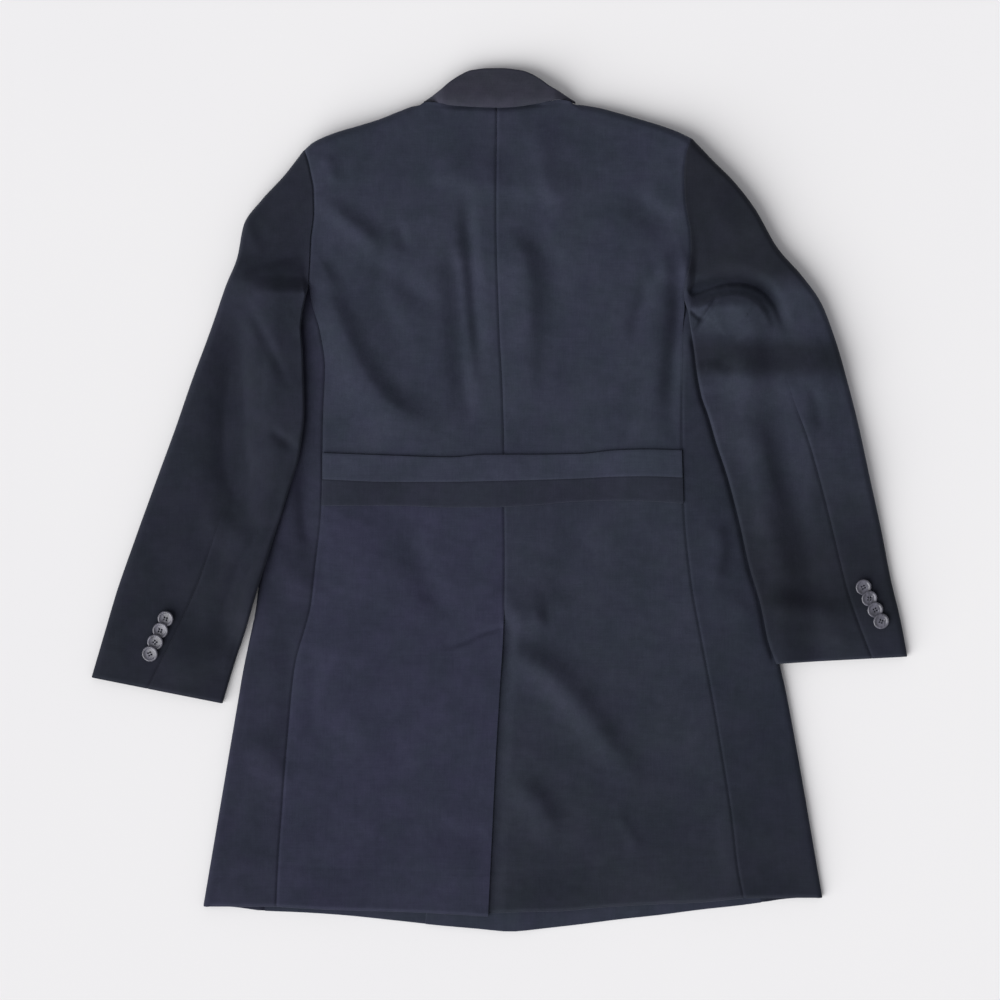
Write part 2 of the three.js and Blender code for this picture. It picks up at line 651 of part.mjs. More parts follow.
// A row is one section across a laid sleeve: its outer and inner edge, and its height at each.
const SLEEVE_COLUMNS = 'outerX outerY innerX innerY outerHeight innerHeight backSeam';
const SLEEVES = {
  left: table(SLEEVE_COLUMNS, [
    [-225, 402, -219, 247, 27, 9, 0.64],
    [-247, 374, -222, 235, 26, 10, 0.64],
    [-273, 346, -226, 216, 25, 10, 0.63],
    [-294, 317, -228, 195, 24, 10, 0.62],
    [-302, 278, -226, 172, 22, 9, 0.61],
    [-315, 246, -225, 144, 21, 9, 0.6],
    [-334, 192, -224, 103, 20, 9, 0.59],
    [-354, 138, -229, 57, 19, 9, 0.58],
    [-374, 80, -245, 2, 18, 9, 0.57],
    [-395, 23, -262, -52, 17, 9, 0.56],
    [-420, -46, -277, -101, 15, 9, 0.56],
    [-441, -106, -290, -150, 13, 9, 0.53],
    [-454, -150, -303, -186, 12, 9.5, 0.49],
    [-470, -204, -319, -234, 10, 10, 0.43],
  ]),
  right: table(SLEEVE_COLUMNS, [
    [221, 416, 212, 230, 27, 9, 0.6],
    [244, 392, 217, 214, 26, 9, 0.58],
    [270, 366, 219, 200, 25, 9, 0.56],
    [294, 335, 221, 189, 25, 9, 0.54],
    [320, 290, 224, 170, 24, 9, 0.51],
    [348, 258, 227, 146, 23, 9, 0.48],
    [370, 227, 232, 120, 22, 9, 0.45],
    [386, 186, 240, 97, 21, 9, 0.42],
    [400, 138, 250, 63, 20, 9, 0.4],
    [412, 92, 262, 27, 18, 9, 0.38],
    [427, 23, 277, -31, 17, 9, 0.36],
    [439, -31, 287, -76, 15, 9, 0.35],
    [451, -92, 300, -120, 13, 9, 0.34],
    [462, -138, 309, -163, 12, 9.5, 0.31],
    [470, -180, 318, -188, 10, 10, 0.27],
  ]),
};
const SLEEVE_STEPS = [0, 0.35, 0.8, 1.3, 1.9, 2.5, 3.1, 3.7, 4.3, 5, 5.8, 6.8, 7.8, 8.8, 10, 11, 12];
const LIFT = { gap: 1.7, run: 35, armStart: 4, armRun: 22 }; // how a sleeve comes down beside the body
const HEAD = { edge: 1.6, height: 1.25 }; // sections over which a sleeve leaves the armhole's form
const CUFF_SINK = { from: -125, to: -190 }; // below this the left sleeve is clear of the body

function sleeve(side) {
  const rows = SLEEVES[side.name].map((row, section) => ({ section, ...row }));
  const column = (name) => curve(rows, 'section', name);
  const names = SLEEVE_COLUMNS.split(' ');
  const at = Object.fromEntries(names.map((name) => [name, column(name)]));
  const last = rows.length - 1;
  const lowest = side.sign < 0 ? CUFF_SINK : null;

  // Height of the sleeve's underside: over the side body where it lies on it, else the floor.
  const lift = (x, y) => {
    const fold = side.fold(y);
    const past = side.sign * (x - fold);
    const onBody = fold - side.sign * Math.max(SIDE_ROLL, -past);
    const beside = 1 - smooth(past / LIFT.run);
    const above = 1 - smooth((y - side.sideTop - LIFT.armStart) / LIFT.armRun);
    const sunk = lowest ? 1 - smooth((lowest.from - y) / (lowest.from - lowest.to)) : 1;
    return (bodyTop(onBody, y) + LIFT.gap) * beside * above * sunk;
  };

  // Height of the upper surface.
  const top = (s, u, x, y) => {
    const own = mix(at.outerHeight(s), at.innerHeight(s), smooth(u)) + side.creases(x, y);
    return mix(lift(x, y) + own, bodyTop(x, y), 1 - smooth(s / HEAD.height));
  };

  // Offset of the curved armhole from the first section's straight line.
  const [first] = rows;
  const bow = (u) => {
    const y = mix(first.outerY, first.innerY, clamp(u, 0, 1));
    return side.backEdge(y) + side.sign * SEAM_GAP - mix(first.outerX, first.innerX, u);
  };

  // A section: its direction from the outer to the inner edge, width, and places along it.
  const section = (s) => {
    const outer = new THREE.Vector2(at.outerX(s), at.outerY(s));
    const inner = new THREE.Vector2(at.innerX(s), at.innerY(s));
    const inward = inner.clone().sub(outer);
    const width = inward.length();
    inward.divideScalar(width);
    const bowed = 1 - smooth(s / HEAD.edge);
    const shift = (u) => bow(u) * bowed;
    const place = (u) => {
      const p = outer.clone().addScaledVector(inward, u * width);
      return { x: p.x + shift(u), y: p.y };
    };
    return { inward, width, shift, place };
  };
  return { side, at, last, lift, top, section };
}

const SLEEVE_ROLL_STEPS = { outer: 6, inner: 4 };
const UNDER_DROP = { from: 0.16, to: 0.85, steps: 30, clear: 2 }; // shares of the under cloth tried

// Half of a sleeve's cloth: from the back-arm seam over one edge to the seam underneath.
// The top sleeve goes round the outer edge, the under sleeve round the inner one.
function sleeveWall(form, outerHalf) {
  const { side, at, last, lift, top, section } = form;
  const scale = last / SLEEVE_STEPS[SLEEVE_STEPS.length - 1];
  // Share of the under cloth at which it passes the body's folded side and comes down.
  const drop = (s, place, turn, seam) => {
    const isPast = (share) => {
      const p = place(mix(turn, seam, share));
      return side.sign * (p.x - side.fold(p.y)) > 0 || p.y > side.sideTop + UNDER_DROP.clear;
    };
    const { from, to, steps } = UNDER_DROP;
    const passing = spread(from, to, steps).find(isPast) ?? to;
    return mix(SLEEVE_UNDER_SHARES.inner[2], passing, smooth(s / HEAD.edge));
  };
  const grid = SLEEVE_STEPS.map((step) => {
    const s = step * scale;
    const { inward, width, shift, place } = section(s);
    const outerRoll = mix(SHOULDER_ROLL, CUFF_OUTER_ROLL, smooth(s));
    const roll = outerHalf ? outerRoll : CUFF_INNER_ROLL;
    const turn = outerHalf ? roll / width : 1 - roll / width;
    const gap = ((outerHalf ? -1 : 1) * SEAM_GAP) / width;
    const columns = outerHalf ? SLEEVE_TOP_COLUMNS.outer : SLEEVE_TOP_COLUMNS.inner;
    const upper = spread(at.backSeam(s) + gap, turn, columns).map((u) => {
      const p = place(u);
      return outside(p.x, p.y, top(s, u, p.x, p.y));
    });
    const edge = place(turn);
    const away = inward.clone().multiplyScalar(outerHalf ? -1 : 1);
    const low = lift(edge.x, edge.y);
    const high = top(s, turn, edge.x, edge.y);
    const steps = outerHalf ? SLEEVE_ROLL_STEPS.outer : SLEEVE_ROLL_STEPS.inner;
    const fold = foldPoints(edge.x, edge.y, away, roll, low, high, steps);
    fold.forEach((point, j) => {
      const out = (roll * Math.sin((Math.PI * j) / steps)) / width;
      point.place.x += shift(turn + (outerHalf ? -out : out)) - shift(turn);
    });
    const underSeam = FRONT_ARM_SEAM + gap;
    const shares = outerHalf
      ? SLEEVE_UNDER_SHARES.outer
      : [0, SLEEVE_UNDER_SHARES.inner[1], drop(s, place, turn, underSeam), 1];
    const under = shares.map((share) => mix(turn, underSeam, share)).map((u) => {
      const p = place(u);
      return outside(p.x, p.y, lift(p.x, p.y), DOWN);
    });
    return [...upper, ...fold.slice(1), ...under.slice(1)];
  });
  return wall(grid);
}

// ---------------------------------------------------------------- cuff buttons

// Middle of the row of four on each cuff, and its direction towards the elbow in degrees from +X.
const BUTTON_ROWS = {
  left: { x: -393, y: -156.5, direction: 66 },
  right: { x: 428.5, y: -119.5, direction: 117.5 },
};

const SEARCH = { sections: 4, steps: 160, inset: 0.06 }; // up from the cuff, clear of the two folds

// Height of a sleeve's upper surface over a point of the floor, from its nearest section point.
function sleeveHeight(form, x, y) {
  let best = { miss: Infinity, z: 0 };
  for (const s of spread(form.last - SEARCH.sections, form.last, SEARCH.steps)) {
    const { inward, width, place } = form.section(s);
    const start = place(0);
    const share = ((x - start.x) * inward.x + (y - start.y) * inward.y) / width;
    const u = clamp(share, SEARCH.inset, 1 - SEARCH.inset);
    const p = place(u);
    const miss = Math.hypot(p.x - x, p.y - y);
    if (miss < best.miss) best = { miss, z: form.top(s, u, p.x, p.y) };
  }
  return best.z;
}

// A sew-through button: a raised rim round a shallow dish, and four holes.
const { Manifold } = await loadManifold().then((module) => {
  module.setup();
  return module;
});

function buttonGeometry() {
  const { radius, thickness, dish, rim, bevel, sides } = BUTTON;
  const floor = thickness - dish;
  const profile = [
    [0, 0], [radius - bevel, 0], [radius, thickness / 2], [radius - bevel, thickness],
    [radius - rim + bevel, thickness], [radius - rim, floor], [0, floor],
  ];
  let body = Manifold.revolve([profile], sides);
  for (const angle of spread(Math.PI / 4, (7 * Math.PI) / 4, 3)) {
    const hole = Manifold.cylinder(3 * thickness, BUTTON_HOLE.radius, -1, BUTTON_HOLE.sides, true);
    const [x, y] = [Math.cos(angle), Math.sin(angle)].map((k) => k * BUTTON_HOLE.reach);
    body = body.subtract(hole.translate([x, y, 0]));
  }
  const mesh = body.getMesh();
  const geometry = new THREE.BufferGeometry();
  geometry.setAttribute('position', new THREE.BufferAttribute(mesh.vertProperties, mesh.numProp));
  geometry.setIndex(new THREE.BufferAttribute(mesh.triVerts, 1));
  geometry.computeVertexNormals();
  return geometry;
}

// Four buttons, each tilted onto the one before it, so that the lowest lies on top.
function addButtons(form) {
  const row = BUTTON_ROWS[form.side.name];
  const angle = THREE.MathUtils.degToRad(row.direction);
  const along = new THREE.Vector3(Math.cos(angle), Math.sin(angle), 0);
  const stack = BUTTON.thickness + SEAM_GAP;
  const tilt = Math.asin(stack / BUTTON.pitch);
  for (let i = 0; i < 4; i += 1) {
    const offset = (1.5 - i) * BUTTON.pitch;
    const [x, y] = [row.x + along.x * offset, row.y + along.y * offset];
    const reach = BUTTON.radius * Math.cos(tilt);
    const [footX, footY] = [x - along.x * reach, y - along.y * reach];
    const foot = sleeveHeight(form, footX, footY);
    const ahead = sleeveHeight(form, x + along.x * reach, y + along.y * reach);
    const slope = Math.atan2(ahead - foot, 2 * reach);
    const mesh = addPiece(`button_${form.side.name}_${i + 1}`, buttonGeometry(), HORN, 0.35);
    const axis = new THREE.Vector3(along.y, -along.x, 0);
    mesh.quaternion.setFromAxisAngle(axis, tilt + slope);
    mesh.position.set(x, y, foot + SEAM_GAP + BUTTON.radius * Math.sin(tilt + slope));
  }
}

// ---------------------------------------------------------------- the coat

for (const side of [LEFT, RIGHT]) {
  addPiece(`back_${side.name}`, backPanel(side));
  addPiece(`skirt_${side.name}`, skirtPanel(side));
  addPiece(`side_${side.name}`, sidePanel(side), NAVY_SHADE);
  addPiece(`front_${side.name}`, frontPanel(side), NAVY_SHADE);
  addPiece(`collar_front_${side.name}`, collarFrontEnd(side.sign), NAVY_SHADE);
  const form = sleeve(side);
  addPiece(`sleeve_top_${side.name}`, sleeveWall(form, true));
  addPiece(`sleeve_under_${side.name}`, sleeveWall(form, false), NAVY_SHADE);
  addButtons(form);
}
addPiece('belt_upper', beltBand('middle', 'high', SEAM_GAP, UPPER_BAND_LIFT), NAVY_BELT);
addPiece('belt_lower', beltBand('low', 'middle', 0, 0), NAVY_BELT);
addPiece('collar_leaf', collarLeaf(), NAVY_BELT);
addPiece('collar_stand', collarStand(), NAVY_SHADE);

export default coat;
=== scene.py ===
import math

import bpy
import numpy as np
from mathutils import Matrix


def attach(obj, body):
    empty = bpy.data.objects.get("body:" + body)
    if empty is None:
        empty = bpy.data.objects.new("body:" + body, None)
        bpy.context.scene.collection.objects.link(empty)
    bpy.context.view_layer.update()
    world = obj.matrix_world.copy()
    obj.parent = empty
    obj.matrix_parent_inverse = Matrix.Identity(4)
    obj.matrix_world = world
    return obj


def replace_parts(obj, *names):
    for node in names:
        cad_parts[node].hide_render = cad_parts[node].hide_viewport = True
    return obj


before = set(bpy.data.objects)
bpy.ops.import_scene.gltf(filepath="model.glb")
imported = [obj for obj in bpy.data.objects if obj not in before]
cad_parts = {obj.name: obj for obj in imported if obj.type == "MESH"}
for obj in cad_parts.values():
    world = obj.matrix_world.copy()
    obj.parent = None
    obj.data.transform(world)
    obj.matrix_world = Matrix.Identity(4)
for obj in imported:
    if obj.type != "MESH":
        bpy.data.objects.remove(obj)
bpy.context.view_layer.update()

# ------------------------------------------------------------------ sizes

MM = 0.001
STEP = 2.3  # spacing of the cloth's points where it shows
HIDDEN_STEP = 9.0  # and where it lies underneath
CLOTH = 2.0
BELT_CLOTH = 1.6
SEAM_GAP = 0.3
LAP_GAP = 0.5
SHOULDER_ROLL = 10
SIDE_ROLL = 7
CUFF_OUTER_ROLL = 8
CUFF_INNER_ROLL = 3.8
EDGE_REACH = 110
WAIST_SEAM = 22
VENT_TOP = -147
UNDERLAP = 50
UNDERLAP_SLOPE = 20
UNDERLAP_DROP = 2.9
FRONT_RISE = 2.8
FRONT_SEAM_INSET = 70
FRONT_ARM_SEAM = 0.5
SEAM_DIP = 1.3  # how far the cloth turns down into a seam
SEAM_REACH = 1.7  # over this distance
FITTING_ROUNDS = 3  # an edge and the point on it are found in turns, this many times
EDGE_STATIONS = (0, 0.4, 0.9, 1.5, 2.3, 3.4, 4.8)  # distances of the first points from a seam or edge

# ------------------------------------------------------------------ small maths


def mix(a, b, share):
    """Goes from a to b."""
    return a + (b - a) * share


def smooth(share):
    """Eases from 0 to 1."""
    s = np.clip(share, 0, 1)
    return s * s * (3 - 2 * s)


def table(names, rows):
    """Rows of numbers as named columns."""
    columns = np.array(rows, float).T
    return dict(zip(names.split(), columns))


def curve(rows, key, name):
    """A column as a smooth function of another, without overshoot and with constant ends."""
    xs, ys = rows[key], rows[name]
    slope = np.diff(ys) / np.diff(xs)
    before = np.append(slope[:1], slope)
    after = np.append(slope, slope[-1:])
    turns = before * after <= 0
    tangent = np.where(turns, 0, 2 * before * after / np.where(turns, 1, before + after))

    def at(value):
        x = np.clip(value, xs[0], xs[-1])
        i = np.clip(np.searchsorted(xs, x, side="right") - 1, 0, len(xs) - 2)
        width = xs[i + 1] - xs[i]
        k = (x - xs[i]) / width
        return (
            (1 + 2 * k) * (1 - k) ** 2 * ys[i]
            + k * (1 - k) ** 2 * width * tangent[i]
            + k**2 * (3 - 2 * k) * ys[i + 1]
            + k**2 * (k - 1) * width * tangent[i + 1]
        )

    return at


def stations(length, step, fine_start=True, fine_end=True):
    """Shares along a length: close together at seams and edges, else step apart."""
    fine = np.array(EDGE_STATIONS)
    start = fine if fine_start else fine[:1]
    end = length - (fine if fine_end else fine[:1])[::-1]
    count = max(2, round((end[0] - start[-1]) / step))
    middle = np.linspace(start[-1], end[0], count + 1)[1:-1]
    return np.concatenate([start, middle, end]) / length


# ------------------------------------------------------------------ outlines

# Side seam and armhole of each upper back, from waist to shoulder.
BACK_EDGE = {
    "left": table("y x", [
        (20, -204), (60, -204), (108, -203), (152, -201), (195, -207), (232, -217), (253, -219),
        (276, -218), (299, -217), (330, -213.5), (357, -214), (374, -217), (388, -220),
        (402, -225),
    ]),
    "right": table("y x", [
        (20, 211), (60, 210), (130, 210), (197, 211), (222, 213), (236, 212), (253, 214.5),
        (276, 219), (293, 220), (310, 219), (328, 215.6), (345, 213), (374, 212), (397, 214.5),
        (416, 221),
    ]),
}
# Side seam of each skirt panel, from hem to waist.
SKIRT_EDGE = {
    "left": table("y x", [
        (-468, -257), (-422, -255), (-352, -250), (-274, -244), (-194, -236), (-120, -217),
        (-76, -212), (-7, -205), (30, -204),
    ]),
    "right": table("y x", [
        (-458, 281), (-422, 274), (-362, 267), (-298, 257), (-233, 246), (-164, 233),
        (-91, 220), (-7, 212), (30, 211),
    ]),
}
# Outermost edge of the body, where each side folds round.
SIDE_FOLD = {
    "left": table("y x", [
        (-466, -341), (-236, -302), (-195, -295), (-161, -288), (-127, -281), (-103, -278),
        (-60, -272), (-23, -265), (57, -253), (161, -255), (232, -252),
    ]),
    "right": table("y x", [
        (-457, 372), (-218, 329.5), (-187, 322.6), (-69, 309), (23, 291), (92, 279),
        (149, 271), (215, 266),
    ]),
}
# Centre seam above the vent and the vent's free edge below it.
CENTRE = table("y x", [
    (-476, -13), (-373, -8), (-298, -4.4), (-214, 0.6), (-147, 4.5), (-69, 5.8), (-9, 5.2),
    (55, 5), (130, 3), (197, -0.5), (330, -4), (450, -3),
])
# Top of each upper back against its share of the width: neck seam, then shoulder.
BACK_TOP = {
    "left": table("u y", [
        (0, 458), (0.26, 456), (0.33, 457.1), (0.36, 457.3), (0.385, 456.2), (0.41, 454.5),
        (0.44, 452.8), (0.52, 446),
        (0.61, 438), (0.71, 431), (0.81, 424.5), (0.89, 418), (0.95, 411.5), (1, 402),
    ]),
    "right": table("u y", [
        (0, 458), (0.26, 458.2), (0.317, 459.9), (0.36, 459), (0.39, 456.6), (0.415, 455.3),
        (0.44, 454.5), (0.52, 451.5),
        (0.63, 445), (0.73, 438.5), (0.84, 431), (0.93, 423.5), (1, 416),
    ]),
}
# Back hem of each skirt panel.
BACK_HEM = {
    "left": table("x y", [
        (-257, -468), (-206, -471), (-114, -474), (-80, -475.5), (-13, -479.5),
    ]),
    "right": table("x y", [
        (-63, -478), (-11, -476), (24, -474), (70, -473), (116, -469), (185, -465),
        (231, -463), (281, -458),
    ]),
}
# Front hem, which shows below the back hem.
FRONT_HEM = table("x y", [
    (-341, -466), (-275, -473), (-229, -475), (-183, -478), (-114, -485), (-68, -490),
    (-22, -494), (12, -497), (47, -494), (92, -489), (139, -483), (185, -478), (231, -472),
    (277, -467), (323, -461), (372, -457),
])
# Folded top of the collar's leaf and its free edge below.
COLLAR_LINES = table("x fold free", [
    (-87, 458.9, 456.8), (-80, 463, 458), (-68, 471.5, 456.5), (-57, 481, 454),
    (-45, 489, 453), (-33, 494.5, 452.3), (-11, 497, 451.5), (1, 497, 451.3),
    (24, 494.6, 452.8), (35, 491, 454.5), (47, 484, 456.5), (58, 476, 459), (70, 469, 460.5),
    (80, 463, 459.5), (87, 459, 457),
])
# Neckline of the fronts against the distance from the middle.
NECKLINE = table("x y", [(0, 383), (45, 392), (70, 412), (90, 434), (100, 448)])
# Height of the laid body at its side edges and in its middle.
LAID_HEIGHT = table("y edge middle", [
    (-480, 9.6, 11), (-300, 11, 13), (-150, 12, 15), (0, 12, 15), (60, 12, 15.5),
    (150, 12.5, 17.5), (230, 13, 20), (300, 17, 23), (350, 22, 24), (405, 28, 23.5),
    (460, 26, 20),
])

# A sleeve's sections from the armhole to the cuff: its outer and inner edge, its height at each.
SLEEVE_COLUMNS = "outer_x outer_y inner_x inner_y outer_height inner_height back_seam"
SLEEVES = {
    "left": [
        (-225, 402, -219, 247, 27, 9, 0.64),
        (-247, 374, -222, 235, 26, 10, 0.64),
        (-273, 346, -226, 216, 25, 10, 0.63),
        (-294, 317, -228, 195, 24, 10, 0.62),
        (-302, 278, -226, 172, 22, 9, 0.61),
        (-315, 246, -225, 144, 21, 9, 0.6),
        (-334, 192, -224, 103, 20, 9, 0.59),
        (-354, 138, -229, 57, 19, 9, 0.58),
        (-374, 80, -245, 2, 18, 9, 0.57),
        (-395, 23, -262, -52, 17, 9, 0.56),
        (-420, -46, -277.5, -101, 15, 9, 0.56),
        (-441, -106, -292, -150, 13, 9, 0.53),
        (-454, -150, -304.5, -186, 12, 9.5, 0.49),
        (-470, -204, -319, -234, 10, 10, 0.43),
    ],
    "right": [
        (221, 416, 212, 230, 27, 9, 0.6),
        (244, 392, 217, 214, 26, 9, 0.58),
        (270, 366, 219, 200, 25, 9, 0.56),
        (294, 335, 221, 189, 25, 9, 0.54),
        (320, 290, 224, 170, 24, 9, 0.51),
        (348, 258, 227, 146, 23, 9, 0.48),
        (370, 227, 232, 120, 22, 9, 0.45),
        (386, 186, 240, 97, 21, 9, 0.42),
        (400, 138, 250, 63, 20, 9, 0.4),
        (412, 92, 262, 27, 18, 9, 0.38),
        (427, 23, 277, -31, 17, 9, 0.36),
        (439, -31, 287, -76, 15, 9, 0.35),
        (451, -92, 300, -120, 13, 9, 0.34),
        (462, -138, 309, -163, 12, 9.5, 0.31),
        (470, -180, 318, -188, 10, 10, 0.27),
    ],
}

# ------------------------------------------------------------------ creases

# A row is one crease: four points on it, its width to the left and to the right of the way from
# the first to the last, and its height (a trough's is below 0).
BODY_CREASES = [
    # wearer's left back
    (-206, 248, -180, 192, -142, 124, -72, 82, 16, 28, 10.5),
    (-196, 346, -179, 323, -158, 308, -144, 284, 12, 13, 6.4),
    (-200, 395, -196, 385, -192, 375, -190, 362, 9, 8, 2.2),
    (-160, 270, -128, 260, -100, 243, -78, 214, 14, 15, -4.0),
    (-148, 254, -136, 228, -124, 198, -110, 166, 14, 16, -3.2),
    (-118, 318, -114, 308, -111, 298, -110, 286, 7, 10, -3.0),
    (-60, 284, -50, 245, -44, 165, -34, 90, 9, 15, -6.4),
    (-37, 348, -34, 285, -28, 215, -24, 148, 9, 10, -8.0),
    (-80, 385, -46, 372, -18, 366, 10, 366, 32, 16, 7.0),
    (-226, 252, -214, 251, -200, 252, -186, 260, 20, 12, 6.0),
    # wearer's right back
    (12, 304, 28, 272, 33, 225, 32, 120, 14, 24, 7.0),
    (24, 312, 48, 292, 60, 262, 60, 210, 16, 12, -3.0),
    (45, 430, 48, 395, 56, 360, 74, 314, 16, 12, 3.4),
    (-2, 366, 34, 358, 66, 356, 106, 363, 30, 14, 5.2),
    (160, 358, 166, 338, 180, 326, 204, 317, 12, 20, -5.4),
    (170, 252, 166, 230, 159, 208, 150, 186, 10, 11, -4.4),
    (202, 284, 206, 215, 201, 165, 196, 84, 9, 12, -9.0),
    (180, 262, 196, 263, 210, 264, 224, 268, 22, 16, 4.6),
    (172, 158, 160, 120, 150, 90, 144, 64, 12, 14, -1.8),
    # wearer's left skirt and side
    (-226, 54, -226, 14, -223, -24, -218, -64, 15, 10, -6.5),
    (-262, -66, -246, -74, -229, -92, -218, -116, 17, 20, 3.8),
    (-243, -140, -242, -190, -243, -240, -248, -300, 10, 14, -2.4),
    (-212, -170, -213, -210, -216, -240, -220, -270, 9, 13, -2.0),
    (-300, -270, -275, -285, -255, -310, -245, -345, 12, 22, 2.4),
    (-114, -44, -92, -70, -80, -100, -54, -136, 15, 17, -3.6),
    (-60, -169, -38, -162, -20, -153, 6, -146, 3.4, 3.4, -3.0),
    (-190, -240, -165, -262, -150, -290, -140, -320, 22, 26, 1.8),
    (-80, -378, -55, -384, -30, -388, -14, -386, 10, 22, -1.8),
    # wearer's right skirt and side
    (4, -139, 20, -138, 38, -135, 54, -132, 20, 13, 7.0),
    (110, -34, 90, -60, 74, -88, 64, -116, 24, 22, -5.0),
    (2, -180, 52, -196, 98, -244, 158, -326, 17, 18, 8.5),
    (14, -332, 36, -340, 50, -358, 54, -386, 15, 20, 6.6),
    (134, -358, 144, -374, 154, -390, 163, -404, 8, 9, 1.8),
    (248, -26, 253, -48, 251, -76, 240, -104, 10, 14, 4.6),
    (236, -112, 258, -112, 276, -122, 290, -150, 10, 20, 2.0),
    (262, -345, 262, -380, 266, -410, 272, -440, 26, 12, 2.2),
]
SLEEVE_CREASES = {
    "left": [
        (-318, 250, -286, 250, -250, 251, -196, 252, 22, 36, 9.0),
        (-292, 256, -274, 270, -250, 278, -216, 284, 5, 6, -2.5),
        (-292, 330, -288, 312, -282, 296, -270, 284, 8, 8, 1.5),
        (-294, 232, -277, 202, -264, 176, -246, 138, 6, 8, -3.6),
        (-297, 216, -301, 140, -300, 60, -290, -24, 11, 28, -14.0),
        (-272, 190, -272, 165, -276, 140, -284, 112, 8, 14, -2.6),
        (-264, 84, -254, 74, -246, 68, -234, 56, 6, 7, -3.0),
        (-246, -8, -282, -58, -302, -104, -320, -172, 8, 14, -8.0),
        (-344, -20, -322, -28, -302, -42, -288, -66, 14, 20, 2.2),
        (-380, -204, -350, -188, -322, -180, -300, -183, 26, 13, 6.5),
    ],
    "right": [
        (219, 238, 240, 247, 288, 249, 326, 204, 7, 5, -15.0),
        (226, 214, 248, 230, 282, 232, 309, 200, 5, 26, 12.0),
        (222, 256, 250, 268, 290, 268, 326, 240, 16, 6, 2.5),
        (206, 181, 236, 175, 264, 183, 288, 199, 18, 16, -9.0),
        (262, 152, 300, 139, 344, 139, 398, 157, 30, 24, 11.0),
        (222, 140, 238, 132, 252, 140, 262, 152, 18, 8, 3.0),
        (219, 219, 224, 214, 229, 210, 235, 207, 2.6, 2.6, -3.6),
        (230, 204, 236, 212, 243, 222, 250, 232, 3, 3, -4.5),
        (234, 208, 229, 200, 224, 192, 219, 184, 2.6, 2.6, -3.0),
        (294, 88, 303, 52, 312, 16, 322, -14, 11, 18, 5.0),
        (300, -2, 316, -36, 328, -72, 336, -98, 36, 18, 5.5),
        (352, 110, 356, 60, 358, 10, 356, -30, 10, 10, 1.8),
        (308, -116, 338, -125, 366, -129, 402, -138, 14, 16, 5.8),
        (338, 130, 352, 60, 366, 0, 380, -60, 50, 26, 6.0),
        (330, -160, 360, -152, 386, -156, 412, -166, 10, 12, 2.4),
        (356, 134, 362, 118, 366, 102, 368, 80, 7, 8, -2.4),
        (238, 350, 250, 335, 262, 318, 270, 300, 14, 12, 1.6),
    ],
}
CREASE_STEPS = 10  # a crease runs on by one more step past each end, while it fades out
CREASE_TAPER = 0.32

# Slow unevenness of the laid cloth: length of a wave, and its height.
WAVES = [(150, 0.8), (82, 0.42), (41, 0.2), (19, 0.06)]
WAVES_OF_A_LENGTH = 5


def crease_sum(rows):
    """Height that a set of creases adds, from the nearest place on each of them."""
    share = np.linspace(0, 1, CREASE_STEPS + 1)
    knots = np.linspace(0, 1, 4)
    others = [np.delete(knots, i) for i in range(4)]
    weights = np.array([
        np.prod((share[:, None] - other) / (knot - other), axis=1)
        for knot, other in zip(knots, others)
    ])

    def run_on(line):
        return np.concatenate([[2 * line[0] - line[1]], line, [2 * line[-1] - line[-2]]])

    def height(x, y):
        x, y = np.broadcast_arrays(np.asarray(x, float), np.asarray(y, float))
        total = np.zeros(x.shape)
        for *points, left, right, depth in rows:
            line_x, line_y = run_on(points[::2] @ weights), run_on(points[1::2] @ weights)
            reach = 3 * max(left, right)
            near = (x > line_x.min() - reach) & (x < line_x.max() + reach)
            near &= (y > line_y.min() - reach) & (y < line_y.max() + reach)
            if not near.any():
                continue
            px, py = x[near], y[near]
            best = np.full(px.shape, np.inf)
            along, on_left = np.zeros(px.shape), np.zeros(px.shape)
            for i in range(CREASE_STEPS + 2):
                dx, dy = line_x[i + 1] - line_x[i], line_y[i + 1] - line_y[i]
                k = ((px - line_x[i]) * dx + (py - line_y[i]) * dy) / (dx * dx + dy * dy)
                k = np.clip(k, 0, 1)
                square = (px - line_x[i] - k * dx) ** 2 + (py - line_y[i] - k * dy) ** 2
                nearer = square < best
                best = np.where(nearer, square, best)
                along = np.where(nearer, (i + k) / (CREASE_STEPS + 2), along)
                across = dx * (py - line_y[i]) - dy * (px - line_x[i])
                on_left = np.where(nearer, across, on_left)
            taper = smooth(np.minimum(along, 1 - along) / CREASE_TAPER)
            width = np.where(on_left > 0, left, right)
            total[near] += depth * taper * np.exp(-best / width**2)
        return total

    return height


def wave_sum(seed):
    """Waves in all directions, so that no stretch of cloth lies quite flat."""
    draw = np.random.default_rng(seed)
    waves = []
    for length, height in WAVES:
        for _ in range(WAVES_OF_A_LENGTH):
            angle, phase = draw.uniform(0, 2 * math.pi, 2)
            count = 2 * math.pi / (length * draw.uniform(0.8, 1.25))
            waves.append((count * math.cos(angle), count * math.sin(angle), phase, height))

    def height_at(x, y):
        total = sum(h * np.sin(a * x + b * y + phase) for a, b, phase, h in waves)
        return total / math.sqrt(WAVES_OF_A_LENGTH)

    return height_at


# ------------------------------------------------------------------ height of the body

centre_at = curve(CENTRE, "y", "x")
front_hem_at = curve(FRONT_HEM, "x", "y")
neckline = curve(NECKLINE, "x", "y")
collar_free = curve(COLLAR_LINES, "x", "free")
edge_height = curve(LAID_HEIGHT, "y", "edge")
middle_height = curve(LAID_HEIGHT, "y", "middle")
body_creases = crease_sum(BODY_CREASES)
body_waves = wave_sum(11)


